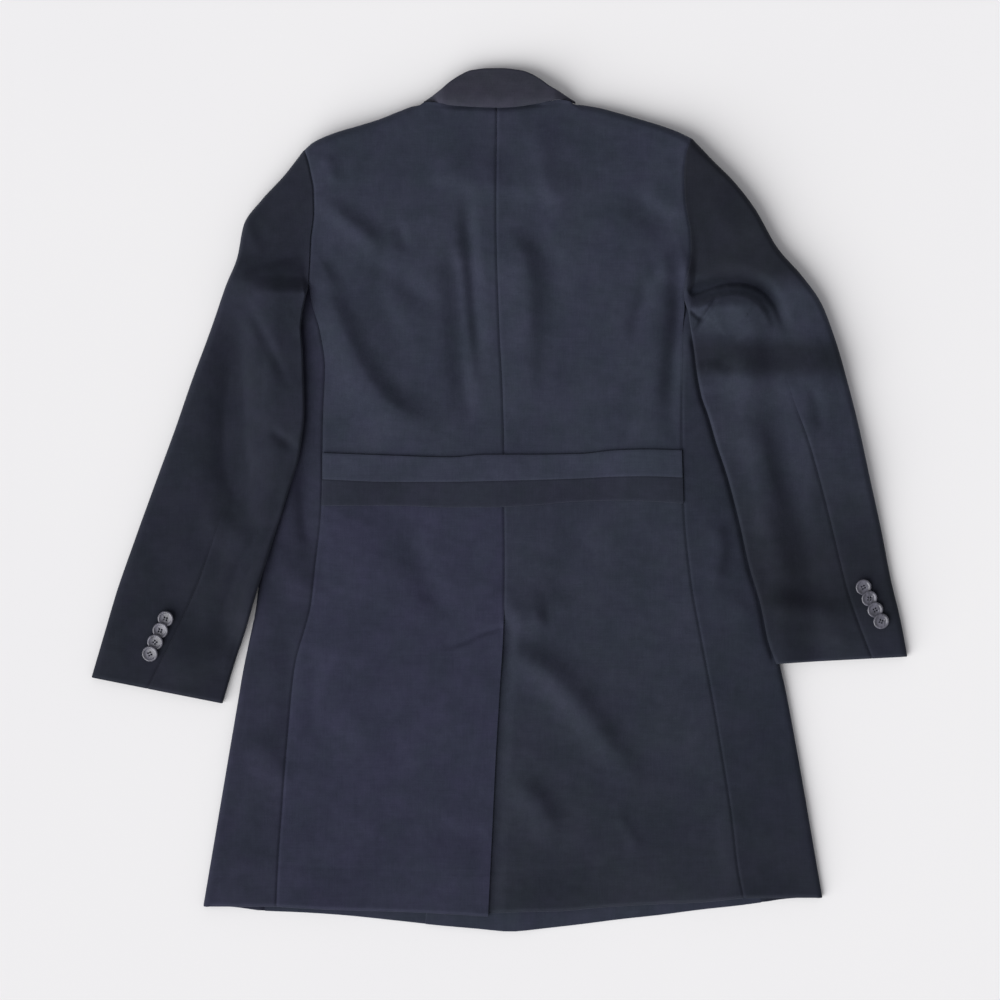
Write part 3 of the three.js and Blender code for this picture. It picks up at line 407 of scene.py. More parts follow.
class Half:
    """What differs between the coat's left and right half."""

    def __init__(self, name, sign, side_top, arm_top, arm_bottom, seed):
        self.name = name
        self.sign = sign
        self.side_top = side_top
        self.arm_top = arm_top
        self.arm_bottom = arm_bottom
        self.back_edge = curve(BACK_EDGE[name], "y", "x")
        self.skirt_edge = curve(SKIRT_EDGE[name], "y", "x")
        self.fold = curve(SIDE_FOLD[name], "y", "x")
        self.back_top = curve(BACK_TOP[name], "u", "y")
        self.back_hem = curve(BACK_HEM[name], "x", "y")
        self.creases = crease_sum(SLEEVE_CREASES[name])
        self.waves = wave_sum(seed)

        edge = np.array(SLEEVES[name], float)[::-1, 2:4]
        self.sleeve_edge = curve({"y": edge[:, 1], "x": edge[:, 0]}, "y", "x")

    def side_seam(self, y):
        return np.where(y < WAIST_SEAM, self.skirt_edge(y), self.back_edge(y))

    def front_seam(self, y):
        return self.fold(y) - self.sign * FRONT_SEAM_INSET


LEFT = Half("left", -1, side_top=232, arm_top=402, arm_bottom=247, seed=23)
RIGHT = Half("right", 1, side_top=215, arm_top=416, arm_bottom=230, seed=37)


def laid_top(x, y):
    """Height of the laid body's upper surface without its creases."""
    inside = smooth(np.minimum(x - LEFT.fold(y), RIGHT.fold(y) - x) / EDGE_REACH)
    return mix(edge_height(y), middle_height(y), inside)


def body_top(x, y):
    """Height of the laid body's upper surface, on which all else is built."""
    return laid_top(x, y) + body_creases(x, y) + body_waves(x, y)


def seam_dip(distance, depth=SEAM_DIP, reach=SEAM_REACH):
    """How far the cloth turns down beside a seam, an edge or a piece that presses on it."""
    return -depth * np.exp(-((distance / reach) ** 2))


# ------------------------------------------------------------------ shells of cloth

UP = np.array([0.0, 0.0, 1.0])


def flat_up(x, y, z, facing=1):
    """A grid of places that face up (1) or down (-1)."""
    x, y, z = np.broadcast_arrays(x, y, z)
    facings = np.zeros(x.shape + (3,))
    facings[..., 2] = facing
    return np.stack([x, y, z], -1), facings


def half_turn(steps):
    """Angles from straight up round to straight down, without the first."""
    return np.linspace(math.pi / 2, -math.pi / 2, steps + 1)[1:]


def fold_round(x, y, direction, roll, low, high, angles):
    """A folded edge from the upper surface to the floor side, along the grid's last axis."""
    x, y, low, high, dir_x, dir_y, roll, angles = np.broadcast_arrays(
        x, y, low, high, direction[0], direction[1], roll, angles
    )
    rise = (high - low) / 2
    out = roll * np.cos(angles)
    places = np.stack([x + dir_x * out, y + dir_y * out, low + rise * (1 + np.sin(angles))], -1)
    side = np.cos(angles) / roll
    facings = np.stack([dir_x * side, dir_y * side, np.sin(angles) / rise], -1)
    return places, facings / np.linalg.norm(facings, axis=-1, keepdims=True)


def join_grids(parts, axis):
    """Grids of places and facings joined into one."""
    return tuple(np.concatenate(grids, axis) for grids in zip(*parts))


def rim_loop(rows, columns):
    """The grid's border points in order, each with the point inside of it."""
    loop = [(0, c, 1, c) for c in range(columns - 1)]
    loop += [(r, columns - 1, r, columns - 2) for r in range(rows - 1)]
    loop += [(rows - 1, c, rows - 2, c) for c in range(columns - 1, 0, -1)]
    loop += [(r, 0, r, 1) for r in range(rows - 1, 0, -1)]
    return np.array(loop)


def closed_wall(places, facings, thickness, rim):
    """Points and faces of a grid, the same grid moved in and a ring that rounds the rim."""
    rows, columns = places.shape[:2]
    outer = places.reshape(-1, 3)
    inner = outer - facings.reshape(-1, 3) * thickness
    loop = rim_loop(rows, columns)
    border = loop[:, 0] * columns + loop[:, 1]
    within = loop[:, 2] * columns + loop[:, 3]
    outward = outer[border] - outer[within]
    outward /= np.maximum(np.linalg.norm(outward, axis=1, keepdims=True), 1e-6)
    middle = (outer[border] + inner[border]) / 2 + outward * rim
    points = np.concatenate([outer, inner, middle])

    index = np.arange(rows * columns).reshape(rows, columns)
    quads = np.stack([index[:-1, :-1], index[:-1, 1:], index[1:, 1:], index[1:, :-1]], -1)
    quads = quads.reshape(-1, 4)
    start, count, first = len(outer), len(border), 2 * len(outer)
    here, after = np.arange(count), (np.arange(count) + 1) % count
    upper = np.stack([border[after], border[here], first + here, first + after], -1)
    lower = np.stack([first + after, first + here, border[here] + start, border[after] + start], -1)
    faces = np.concatenate([quads, quads[:, ::-1] + start, upper, lower])

    r, c = rows // 2, columns // 2
    across, onward = places[r, c] - places[r, c - 1], places[r, c] - places[r - 1, c]
    if np.cross(across, onward) @ facings[r, c] < 0:
        faces = faces[:, ::-1]
    return points, faces.tolist(), border


def sharpen_border(mesh, border):
    """Keeps the light's edge crisp along the border of the outside."""
    ends = np.empty(2 * len(mesh.edges), np.int64)
    mesh.edges.foreach_get("vertices", ends)
    low, high = np.sort(ends.reshape(-1, 2), axis=1).T
    pair = np.sort(np.stack([border, np.roll(border, -1)], 1), axis=1)
    count = len(mesh.vertices)
    on_border = np.isin(low * count + high, pair[:, 0] * count + pair[:, 1])
    mesh.attributes.new("sharp_edge", "BOOLEAN", "EDGE").data.foreach_set("value", on_border)


def smooth_mesh(name, points, faces):
    """A smooth shaded mesh from points in millimetres."""
    mesh = bpy.data.meshes.new(name)
    mesh.from_pydata((points * MM).tolist(), [], faces)
    mesh.polygons.foreach_set("use_smooth", np.ones(len(faces), bool))
    return mesh


def shell(name, grid, material, thickness=CLOTH, rim=0.0):
    """A closed thin piece of cloth from its outside grid, in the place of its node."""
    places, facings = grid
    points, faces, border = closed_wall(places, facings, thickness, rim)
    mesh = smooth_mesh(name, points, faces)
    sharpen_border(mesh, border)
    mesh.update()
    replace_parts(add_piece(name, mesh, material), name)


def add_piece(name, mesh, material):
    """Puts a mesh into the scene as a piece of the coat's one body."""
    piece = bpy.data.objects.new(name, mesh)
    bpy.context.scene.collection.objects.link(piece)
    mesh.materials.append(material)
    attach(piece, "root")
    return piece


# ------------------------------------------------------------------ materials


def colour(hex_code):
    """sRGB hex to linear, with full alpha."""
    parts = [int(hex_code[i : i + 2], 16) / 255 for i in (0, 2, 4)]
    linear = [p / 12.92 if p <= 0.04045 else ((p + 0.055) / 1.055) ** 2.4 for p in parts]
    return (*linear, 1.0)


def add(tree, kind, inputs=None, **settings):
    """Adds a node with its settings. An input is a value or another node's output."""
    node = tree.nodes.new(kind)
    for name, value in settings.items():
        setattr(node, name, value)
    for socket, value in (inputs or {}).items():
        if isinstance(value, bpy.types.NodeSocket):
            tree.links.new(value, node.inputs[socket])
        else:
            node.inputs[socket].default_value = value
    return node


def new_material(name):
    """A bare material with its node tree and its shader."""
    material = bpy.data.materials.new(name)
    material.use_nodes = True
    tree = material.node_tree
    tree.nodes.clear()
    output = add(tree, "ShaderNodeOutputMaterial")
    shader = add(tree, "ShaderNodeBsdfPrincipled")
    tree.links.new(shader.outputs["BSDF"], output.inputs["Surface"])
    return material, tree, shader


def per_mm(size):
    """Scale of a pattern whose features are size millimetres wide."""
    return 1 / (size * MM)


# The wool's patterns: width in millimetres, detail, and how dense each is along x and y. Slubs
# are yarns that are a little thicker. Yarn of 0.5 mm is drawn at 1.3 mm, so that it shows.
WOOL_PATTERNS = [
    ("weft", 1.3, 3.0, 0.045, 1), ("warp", 1.3, 3.0, 1, 0.045), ("patches", 60, 2.0, 1, 1),
    ("large_clouds", 38, 3.0, 1, 1), ("small_clouds", 12, 3.0, 1, 1),
]
# The levels that a pattern runs between and its tints there. The yarn is two patterns added up.
WOOL_TINTS = [
    ("yarn", 0.8, 1.2, (0.93, 0.93, 0.94, 1), (1.08, 1.07, 1.07, 1)),
    ("large_clouds", 0.35, 0.65, (0.92, 0.97, 0.93, 1), (1.07, 1.02, 1.07, 1)),
    ("small_clouds", 0.35, 0.65, (0.93, 0.93, 0.94, 1), (1.07, 1.07, 1.06, 1)),
    ("fibre", 0.3, 0.7, (0.88, 0.88, 0.88, 1), (1.14, 1.14, 1.15, 1)),
]
# Painted light and shade along the coat: height on the coat, and the share of light painted into the
# wool's colour there (below 1 painted shade, above 1 painted light).
LEFT_SKIRT_PAINTED_SHADE = [(-470, 0.9), (-300, 1.0)]
RIGHT_SKIRT_PAINTED_SHADE = [(-450, 0.66), (-330, 0.8), (-140, 1.0)]
LEFT_SLEEVE_PAINTED_SHADE = [(-200, 0.78), (60, 1.0), (240, 1.0), (330, 0.9)]
RIGHT_SLEEVE_PAINTED_LIGHT_AND_SHADE = [
    (-190, 0.7), (-115, 0.44), (-60, 0.52), (20, 0.85), (60, 0.95), (138, 1.0), (152, 0.62),
    (174, 0.6), (188, 0.95), (238, 1.08), (262, 0.5), (420, 0.38),
]


def wool(name, face, shade, nap=0.8, sheen=0.12, fade=None):
    """Milled wool coating: woven, then raised and pressed, so that a soft nap half hides the
    weave. It gives the eye a dull even navy with faint crossing slubs and no highlight. A fade
    table paints light and shade into that colour, darker or lighter with height on the coat."""
    material, tree, shader = new_material(name)
    place = add(tree, "ShaderNodeTexCoord").outputs["Object"]
    pattern = {}
    for key, size, detail, along_x, along_y in WOOL_PATTERNS + [("fibre", nap, 4.0, 1, 1)]:
        density = (along_x, along_y, 1)
        spot = add(tree, "ShaderNodeMapping", {"Vector": place, "Scale": density})
        pattern[key] = add(tree, "ShaderNodeTexNoise", {
            "Vector": spot.outputs["Vector"], "Scale": per_mm(size), "Detail": detail,
            "Roughness": 0.6,
        }).outputs["Fac"]
    for key, one, other in (("yarn", "weft", "warp"), ("relief", "yarn", "fibre")):
        both = {0: pattern[one], 1: pattern[other]}
        pattern[key] = add(tree, "ShaderNodeMath", both, operation="ADD").outputs[0]

    tone = (1, 1, 1, 1)
    tints = [("patches", 0.35, 0.65, colour(face), colour(shade))] + WOOL_TINTS
    for key, low, high, at_low, at_high in tints:
        share = add(tree, "ShaderNodeMapRange", {
            "Value": pattern[key], "From Min": low, "From Max": high,
        }).outputs["Result"]
        mixed = {0: share, 6: at_low, 7: at_high}
        tint = add(tree, "ShaderNodeMix", mixed, data_type="RGBA").outputs[2]
        both = {0: 1.0, 6: tone, 7: tint}
        tone = add(tree, "ShaderNodeMix", both, data_type="RGBA", blend_type="MULTIPLY").outputs[2]
    # Painted light and shade: the colour is multiplied by a share of light that a ramp reads off the
    # height on the coat.
    if fade:
        start, end = fade[0][0], fade[-1][0]
        upward = add(tree, "ShaderNodeSeparateXYZ", {"Vector": place}).outputs["Y"]
        share = add(tree, "ShaderNodeMapRange", {
            "Value": upward, "From Min": start * MM, "From Max": end * MM,
        }).outputs["Result"]
        ramp = add(tree, "ShaderNodeValToRGB", {"Fac": share})
        stops = ramp.color_ramp.elements
        for i, (y, light) in enumerate(fade[:1] + fade[-1:] + fade[1:-1]):
            stop = stops[i] if i < 2 else stops.new((y - start) / (end - start))
            stop.color = (light, light, light, 1)
        both = {0: 1.0, 6: tone, 7: ramp.outputs["Color"]}
        tone = add(tree, "ShaderNodeMix", both, data_type="RGBA", blend_type="MULTIPLY").outputs[2]
    tree.links.new(tone, shader.inputs["Base Color"])

    rough = add(tree, "ShaderNodeMapRange", {
        "Value": pattern["patches"], "From Min": 0.35, "From Max": 0.65, "To Min": 0.88, "To Max": 0.96,
    })
    tree.links.new(rough.outputs["Result"], shader.inputs["Roughness"])
    bump = add(tree, "ShaderNodeBump", {
        "Strength": 0.22, "Distance": 0.5 * MM, "Height": pattern["relief"],
    })
    tree.links.new(bump.outputs["Normal"], shader.inputs["Normal"])
    shader.inputs["IOR"].default_value = 1.45
    shader.inputs["Specular IOR Level"].default_value = 0.25
    shader.inputs["Sheen Weight"].default_value = sheen
    shader.inputs["Sheen Roughness"].default_value = 0.45
    shader.inputs["Sheen Tint"].default_value = colour("aab2c8")
    return material


def mottled(name, size, stretch, levels, dark, light, **noise):
    """A material whose colour wanders between two, over patches of a size in millimetres."""
    material, tree, shader = new_material(name)
    place = add(tree, "ShaderNodeTexCoord").outputs["Object"]
    spot = add(tree, "ShaderNodeMapping", {"Vector": place, "Scale": (1, stretch, 1)})
    patches = add(tree, "ShaderNodeTexNoise", {
        "Vector": spot.outputs["Vector"], "Scale": per_mm(size), **noise,
    })
    ramp = add(tree, "ShaderNodeValToRGB", {"Fac": patches.outputs["Fac"]})
    for stop, level, hex_code in zip(ramp.color_ramp.elements, levels, (dark, light)):
        stop.position = level
        stop.color = colour(hex_code)
    tree.links.new(ramp.outputs["Color"], shader.inputs["Base Color"])
    return material, tree, shader, place


def polished_horn():
    """Polished dark horn: turned, drilled and buffed. Grey brown streaks under a clear gloss."""
    material, tree, shader, place = mottled(
        "polished_horn", 3.5, 0.3, (0.35, 0.68), "3d3d46", "5e5d69", Detail=3.0, Distortion=0.6,
    )
    scratch = add(tree, "ShaderNodeTexNoise", {"Vector": place, "Scale": per_mm(2.0)}).outputs["Fac"]
    rough = add(tree, "ShaderNodeMapRange", {"Value": scratch, "To Min": 0.3, "To Max": 0.42})
    tree.links.new(rough.outputs["Result"], shader.inputs["Roughness"])
    shader.inputs["IOR"].default_value = 1.54
    shader.inputs["Coat Weight"].default_value = 0.3
    shader.inputs["Coat Roughness"].default_value = 0.12
    return material


def sewing_thread():
    """Spun polyester thread: dull, almost black, with a twist that breaks up its light."""
    material, _, shader, _ = mottled("sewing_thread", 0.3, 1, (0, 1), "10131a", "2b303d")
    shader.inputs["Roughness"].default_value = 0.7
    return material


def paper_floor():
    """A matt white sweep of paper, with a very faint unevenness."""
    material, _, shader, _ = mottled("paper_floor", 400, 1, (0, 1), "e9e8e9", "ecebeb")
    shader.inputs["Roughness"].default_value = 0.9
    return material


COAT_WOOL = wool("milled_wool", "2c303d", "2a2e3b")
# Painted shade on the skirts: each skirt's wool is painted darker towards the hem, the right one more
# and from a darker base, and the left one is given a bluish tint of painted skylight.
SKIRT_WOOL = {
    "left": wool("milled_wool_skirt_left", "2b2d3e", "292b3b", fade=LEFT_SKIRT_PAINTED_SHADE),
    "right": wool("milled_wool_skirt_right", "2a2e3a", "282c38", fade=RIGHT_SKIRT_PAINTED_SHADE),
}
# Painted shade on the folded sides: their wool is darker than the back's, the left one tinted bluish as
# painted skylight, and the right one painted darker still towards the hem.
SIDE_WOOL = {
    "left": wool("milled_wool_side_left", "272938", "252735"),
    "right": wool("milled_wool_side_right", "252935", "232733", fade=RIGHT_SKIRT_PAINTED_SHADE),
}
# Painted light and shade on the sleeves: the left sleeve's wool is darker than the back's, and each
# sleeve is painted darker and lighter in bands along its length.
SLEEVE_WOOL = {
    "left": wool("milled_wool_sleeve_left", "21242f", "1f222d", sheen=0.1, fade=LEFT_SLEEVE_PAINTED_SHADE),
    "right": wool("milled_wool_sleeve_right", "2a2e3a", "282c38", sheen=0.08, fade=RIGHT_SLEEVE_PAINTED_LIGHT_AND_SHADE),
}
# Painted light and shade on the half belt: one cloth, its upper band painted lighter and its lower band
# painted darker than the back's wool.
UPPER_BELT_WOOL = wool("milled_wool_upper_belt", "2f3341", "2d313e")
LOWER_BELT_WOOL = wool("milled_wool_lower_belt", "242733", "232631")
COLLAR_WOOL = wool("milled_wool_collar", "33343e", "31323c", nap=0.7)
HORN = polished_horn()
THREAD = sewing_thread()

# ------------------------------------------------------------------ upper back

BACK = {"width": 218, "length": 430}  # about: it only sets how many points a panel gets
SHOULDER_STEPS = 16
NECK = {"from": 0.38, "to": 0.44, "depth": 4}
ARMHOLE_DIP = {"left": 2.0, "right": SEAM_DIP}
# How far the collar's edge sinks into the back, over what distance, and on how much of its width.
COLLAR_PRESS = {"depth": 3.4, "reach": 3.0, "half": 86}


def back_panel(side):
    """From waist to shoulder, then over the shoulder to the floor side."""
    waist = WAIST_SEAM + SEAM_GAP / 2
    u = stations(BACK["width"], STEP)

    def column(share, y):
        seam = centre_at(y) + side.sign * SEAM_GAP / 2
        return mix(seam, side.back_edge(y), share)

    shoulder = smooth((u - NECK["from"]) / (NECK["to"] - NECK["from"]))
    roll_start = side.back_top(u) - mix(NECK["depth"], SHOULDER_ROLL, shoulder)
    v = stations(BACK["length"], STEP, fine_end=False)[:, None]
    y = mix(waist, roll_start, v)
    x = column(u, y)
    seams = seam_dip(np.abs(x - centre_at(y)))
    seams = seams + seam_dip(np.abs(x - side.back_edge(y)), ARMHOLE_DIP[side.name])
    pressed = seam_dip(y - collar_free(x), COLLAR_PRESS["depth"], COLLAR_PRESS["reach"])
    pressed = pressed * (np.abs(x) < COLLAR_PRESS["half"])
    flat = flat_up(x, y, body_top(x, y) + seams + pressed)

    y0 = roll_start[None, :]
    x0 = column(u, y0)
    top = flat[0][-1, :, 2][None, :]
    angles = half_turn(SHOULDER_STEPS)[:, None]
    places, facings = fold_round(x0, y0, (0, 1), SHOULDER_ROLL, 0, top, angles)
    plain_y = y0 + NECK["depth"] * np.arange(1, SHOULDER_STEPS + 1)[:, None] / SHOULDER_STEPS
    places[..., 1] = mix(plain_y, places[..., 1], shoulder)
    places[..., 0] = column(u, places[..., 1])
    places[..., 2] = mix(top, places[..., 2], shoulder)
    facings = mix(UP, facings, shoulder[:, None])
    facings /= np.linalg.norm(facings, axis=-1, keepdims=True)
    grid = join_grids([flat, (places, facings)], 0)
    name = f"back_{side.name}"
    shell(name, grid, COAT_WOOL)


# ------------------------------------------------------------------ skirt and vent

SKIRT = {"width": 240, "length": 495}
UNDERLAP_STEPS = 12
VENT_EASE = 10  # height over which the centre seam's dip fades out at the vent
HEM_DIP = 2.4  # how far the hem's fold rounds down
HEM_REACH = 1.9
HEM_STITCH = {"up": 48, "depth": 0.28, "reach": 2.0}  # the line of stitches that holds the hem
LAP = {"start": -116, "run": 36, "near": 5, "far": 20, "root": 2}


def underlap_width(y):
    """How far the vent's hidden flap reaches past the centre."""
    return UNDERLAP * smooth((VENT_TOP - y) / UNDERLAP_SLOPE)


def lapped_top(x, y):
    """Height of the right skirt, which sinks under the left one near the vent."""
    along = smooth((LAP["start"] - y) / LAP["run"])
    past = x - centre_at(y) - LAP["near"]
    share = along * (1 - smooth(past / (LAP["far"] - LAP["near"])))
    return body_top(x, y) - share * (UNDERLAP_DROP + body_creases(x, y))


def skirt_panel(side):
    """From hem to waist seam. The right one carries the underlap of the vent."""
    under = side.sign > 0
    v = stations(SKIRT["length"], STEP)[:, None]
    seam = side.sign * SEAM_GAP / 2
    start = seam + (LAP["root"] if under else 0)

    def placed(share, offset):
        def across(y):
            return mix(centre_at(y) + offset(y), side.skirt_edge(y), share)

        hem = side.back_hem(np.zeros_like(share))
        for _ in range(FITTING_ROUNDS):
            hem = side.back_hem(across(hem))
        y = mix(hem, WAIST_SEAM - SEAM_GAP / 2, v)
        return across(y), y

    u = stations(SKIRT["width"], STEP)[None, :]
    x, y = placed(u, lambda y: start)
    if under:
        lap = np.linspace(0, 1, UNDERLAP_STEPS, endpoint=False)[None, :]
        flap_x, flap_y = placed(np.zeros_like(lap), lambda y: seam - underlap_width(y))
        x = np.concatenate([mix(flap_x, x[:, :1], lap), x], 1)
        y = np.concatenate([mix(flap_y, y[:, :1], lap), y], 1)
    from_centre = np.abs(x - centre_at(y))
    seams = seam_dip(from_centre) * smooth((y - VENT_TOP) / VENT_EASE)
    seams = seams + seam_dip(np.abs(x - side.skirt_edge(y)))
    seams = seams + seam_dip(y - y[:1], HEM_DIP, HEM_REACH)
    stitches = y - y[:1] - HEM_STITCH["up"]
    seams = seams + seam_dip(stitches, HEM_STITCH["depth"], HEM_STITCH["reach"])
    top = lapped_top(x, y) if under else body_top(x, y)
    name = f"skirt_{side.name}"
    grid = flat_up(x, y, top + seams)
    shell(name, grid, SKIRT_WOOL[side.name], rim=0.5)


# ------------------------------------------------------------------ sides and fronts

SIDE_WIDTH = 70
SIDE_FOLD_STEPS = 12
SIDE_UNDER_STEPS = 9
HEM_EASE = 60  # height over which the side's underneath follows the front's longer hem
# How far a sleeve's inner edge sinks into the side, and where it leaves it.
SLEEVE_PRESS = {"left": (1.5, -110), "right": (4.0, -192)}
PRESS = {"reach": 3.6, "fade": 14, "below_top": 20}
UNDERARM = {"up": 15, "down": 7, "run": 30}  # the side's top runs on under the sleeve


def side_panel(side):
    """From the back seam, round the folded side, to the front seam underneath."""
    hem = side.back_hem(SKIRT_EDGE[side.name]["x"][0])
    length = side.side_top - hem
    y = mix(hem, side.side_top, stations(length, STEP))[:, None]
    turn = side.fold(y) - side.sign * SIDE_ROLL
    seam = side.side_seam(y) + side.sign * SEAM_GAP
    x = mix(seam, turn, stations(SIDE_WIDTH, STEP, fine_end=False)[None, :])
    dip = seam_dip(np.abs(x - side.side_seam(y))) + seam_dip(y - hem, HEM_DIP, HEM_REACH)
    beside = x - side.sleeve_edge(y)
    press, leaves = SLEEVE_PRESS[side.name]
    pressed = smooth((y - leaves) / PRESS["fade"])
    pressed = pressed * smooth((side.side_top - PRESS["below_top"] - y) / PRESS["fade"])
    dip = dip + seam_dip(beside - side.sign, press, PRESS["reach"]) * pressed
    tuck = smooth((y - side.side_top + UNDERARM["run"]) / UNDERARM["run"])
    tuck = tuck * (1 - smooth((x - seam) / (turn - seam)))
    upper = flat_up(x, y + UNDERARM["up"] * tuck, body_top(x, y) + dip - UNDERARM["down"] * tuck)
    angles = half_turn(SIDE_FOLD_STEPS)
    fold = fold_round(turn, y, (side.sign, 0), SIDE_ROLL, 0, body_top(turn, y), angles)
    x = mix(turn, side.front_seam(y), np.linspace(0, 1, SIDE_UNDER_STEPS + 1)[1:])
    near_hem = smooth((hem + HEM_EASE - y) / HEM_EASE)
    drop = (front_hem_at(x) - hem) * near_hem
    drop = drop * smooth((turn - x) / (turn - side.front_seam(y)))
    under = flat_up(x, y + drop, 0, -1)
    name = f"side_{side.name}"
    grid = join_grids([upper, fold, under], 1)
    shell(name, grid, SIDE_WOOL[side.name], rim=0.5)


FRONT = {"width": 250, "length": 880, "low": -480.0, "high": 380.0, "rounds": 5}
# Where each front ends, past the middle. The two lie one over the other in between.
FREE_EDGE = table("y left right", [
    (-500, 14, -86), (-300, 20, -70), (0, 32, -50), (250, 34, -34), (330, 20, -20),
    (400, 18, -18),
])
LAP_RAMP = {"near": 14, "run": 34}
COLLAR_ROOM = {"low": 252, "rise": 64, "near": 118, "far": 148}
free_edge = {name: curve(FREE_EDGE, "y", name) for name in ("left", "right")}


def collar_lift(x, y):
    """How far a front is lifted by the collar end under it."""
    room = COLLAR_ROOM
    along = smooth((y - room["low"]) / room["rise"])
    past = (np.abs(x) - room["near"]) / (room["far"] - room["near"])
    return FRONT_RISE * along * (1 - smooth(past))


def front_top(side, x):
    """Upper edge of a front: the neckline, then just short of where the back turns under."""
    y = np.full(np.shape(x), float(side.arm_top))
    for _ in range(FITTING_ROUNDS):
        u = (x - centre_at(y)) / (side.back_edge(y) - centre_at(y))
        y = side.back_top(np.clip(u, 0, 1)) - SHOULDER_ROLL - SEAM_GAP
    return np.minimum(y, neckline(np.abs(x)))


def front_panel(side):
    """A front, on the floor. The right one lies over the left one along the middle."""
    over = side.sign > 0
    reach = side.arm_bottom - side.side_top - SEAM_GAP

    def outer_edge(y):
        seam = side.front_seam(y) - side.sign * SEAM_GAP
        armhole = side.back_edge(np.maximum(y, side.arm_bottom))
        return mix(seam, armhole, smooth((y - side.side_top - SEAM_GAP) / reach))

    v = stations(FRONT["length"], HIDDEN_STEP)[:, None]
    u = stations(FRONT["width"], HIDDEN_STEP)[None, :]
    y = mix(FRONT["low"], FRONT["high"], v) + 0 * u
    for _ in range(FRONT["rounds"]):
        x = mix(free_edge[side.name](y), outer_edge(y), u)
        y = mix(front_hem_at(x), front_top(side, x), v)
    past = x - free_edge["left"](y) - LAP_RAMP["near"]
    lap = 1 - smooth(past / LAP_RAMP["run"])
    z = (FRONT_RISE * lap if over else 0) + collar_lift(x, y)
    name = f"front_{side.name}"
    shell(name, flat_up(x, y, z, -1), COAT_WOOL, rim=0.5)


# ------------------------------------------------------------------ half belt

# Lower edge of the lower band, the line where the bands meet, and the upper band's top.
BELT = table("x low middle high", [
    (-205, -6, 24, 54), (-125, -6, 21, 51), (-57, -8, 21, 49), (-14, -8, 22, 52),
    (33, -6, 23, 52), (94, -1, 25, 53), (134, 0, 27, 57), (171, -1, 27.5, 58),
    (211, -3.5, 26, 57),
])
BAND = {"width": 30, "length": 412}
UPPER_BAND_LIFT = 0.7
BELT_END_INSET = 0.6
BELT_EDGE_DIP = 0.35
BELT_EDGE_REACH = 1.2


def belt_band(name, cloth, low_name, high_name, trim_low, lift):
    """One band of the half belt, moved out from the panels that it lies on."""
    low, high = (curve(BELT, "x", column) for column in (low_name, high_name))
    v = stations(BAND["width"], STEP)[:, None]
    u = stations(BAND["length"], STEP)[None, :]
    level = mix(low(0.0), high(0.0), v)
    start = LEFT.side_seam(level) + BELT_END_INSET
    x = mix(start, RIGHT.side_seam(level) - BELT_END_INSET, u)
    y = mix(low(x) + trim_low, high(x), v)
    ends = seam_dip(np.minimum(x - start, RIGHT.side_seam(level) - x), BELT_EDGE_DIP)
    edges = seam_dip(np.minimum(v, 1 - v) * BAND["width"], BELT_EDGE_DIP, BELT_EDGE_REACH)
    z = body_top(x, y) + LAP_GAP + BELT_CLOTH + lift + ends + edges
    shell(name, flat_up(x, y, z), cloth, BELT_CLOTH, rim=0.4)


# ------------------------------------------------------------------ collar

COLLAR_ROLL = 3.3
COLLAR_EDGE_DIP = 0.5
TIP = {"start": 62, "reach": 25, "roll": 0.4}  # the leaf's tips, and their share of the roll
LEAF = {"half": 87, "columns": 90, "width": 40, "fold_steps": 10}
LEAF_WAVES = {"height": 0.5, "closer": 1.7}  # the body's waves, made lower and closer together
STAND = {"half": 58, "columns": 30, "rows": 8, "back_width": 217, "clear": 0.4}
END_ROWS, END_COLUMNS = 28, 6
LEAF_HEIGHT = table("y z", [(450, 22.9), (460, 24.9), (478, 21), (497, 15)])
# A collar end's inner and outer edge, from the neck down.
COLLAR_END = table("inner_x inner_y outer_x outer_y", [
    (54, 461.5, 84, 455), (58, 442, 90, 434), (58, 414, 92, 406), (48, 391, 87, 380),
    (34, 372, 68, 352),
])
collar_fold = curve(COLLAR_LINES, "x", "fold")
leaf_level = curve(LEAF_HEIGHT, "y", "z")


def leaf_top(x, y):
    """Height of the leaf's outside: it sinks to the floor side at its two ends."""
    tip = smooth((np.abs(x) - TIP["start"]) / TIP["reach"])
    sunk = CLOTH + SEAM_GAP + 2 * COLLAR_ROLL + SEAM_GAP
    return mix(leaf_level(y), sunk, tip)


def collar():
    """The leaf, which folds over at the top, and the stand under it."""
    x = np.linspace(-LEAF["half"], LEAF["half"], LEAF["columns"])[:, None]
    roll = COLLAR_ROLL * mix(1, TIP["roll"], smooth((np.abs(x) - TIP["start"]) / TIP["reach"]))
    turn = collar_fold(x) - roll
    y = mix(collar_free(x), turn, stations(LEAF["width"], STEP, fine_end=False)[None, :])
    edge = seam_dip(y - collar_free(x), COLLAR_EDGE_DIP, HEM_REACH)
    waves = LEAF_WAVES["height"] * body_waves(x * LEAF_WAVES["closer"], y * LEAF_WAVES["closer"])
    upper = flat_up(x, y, leaf_top(x, y) + waves + edge)
    top = upper[0][:, -1:, 2]
    angles = half_turn(LEAF["fold_steps"])
    fold = fold_round(x, turn, (0, 1), roll, top - 2 * roll, top, angles)
    shell("collar_leaf", join_grids([upper, fold], 1), COLLAR_WOOL, rim=0.6)

    x = np.linspace(-STAND["half"], STAND["half"], STAND["columns"])[:, None]
    turn = collar_fold(x) - COLLAR_ROLL - SEAM_GAP
    share = np.abs(x) / STAND["back_width"]
    neck_seam = np.where(x < 0, LEFT.back_top(share), RIGHT.back_top(share))
    low = neck_seam + SEAM_GAP + STAND["clear"]
    y = mix(low, turn, np.linspace(0, 1, STAND["rows"])[None, :])
    stand = flat_up(x, y, leaf_top(x, y) - 2 * COLLAR_ROLL, -1)
    shell("collar_stand", stand, COLLAR_WOOL)


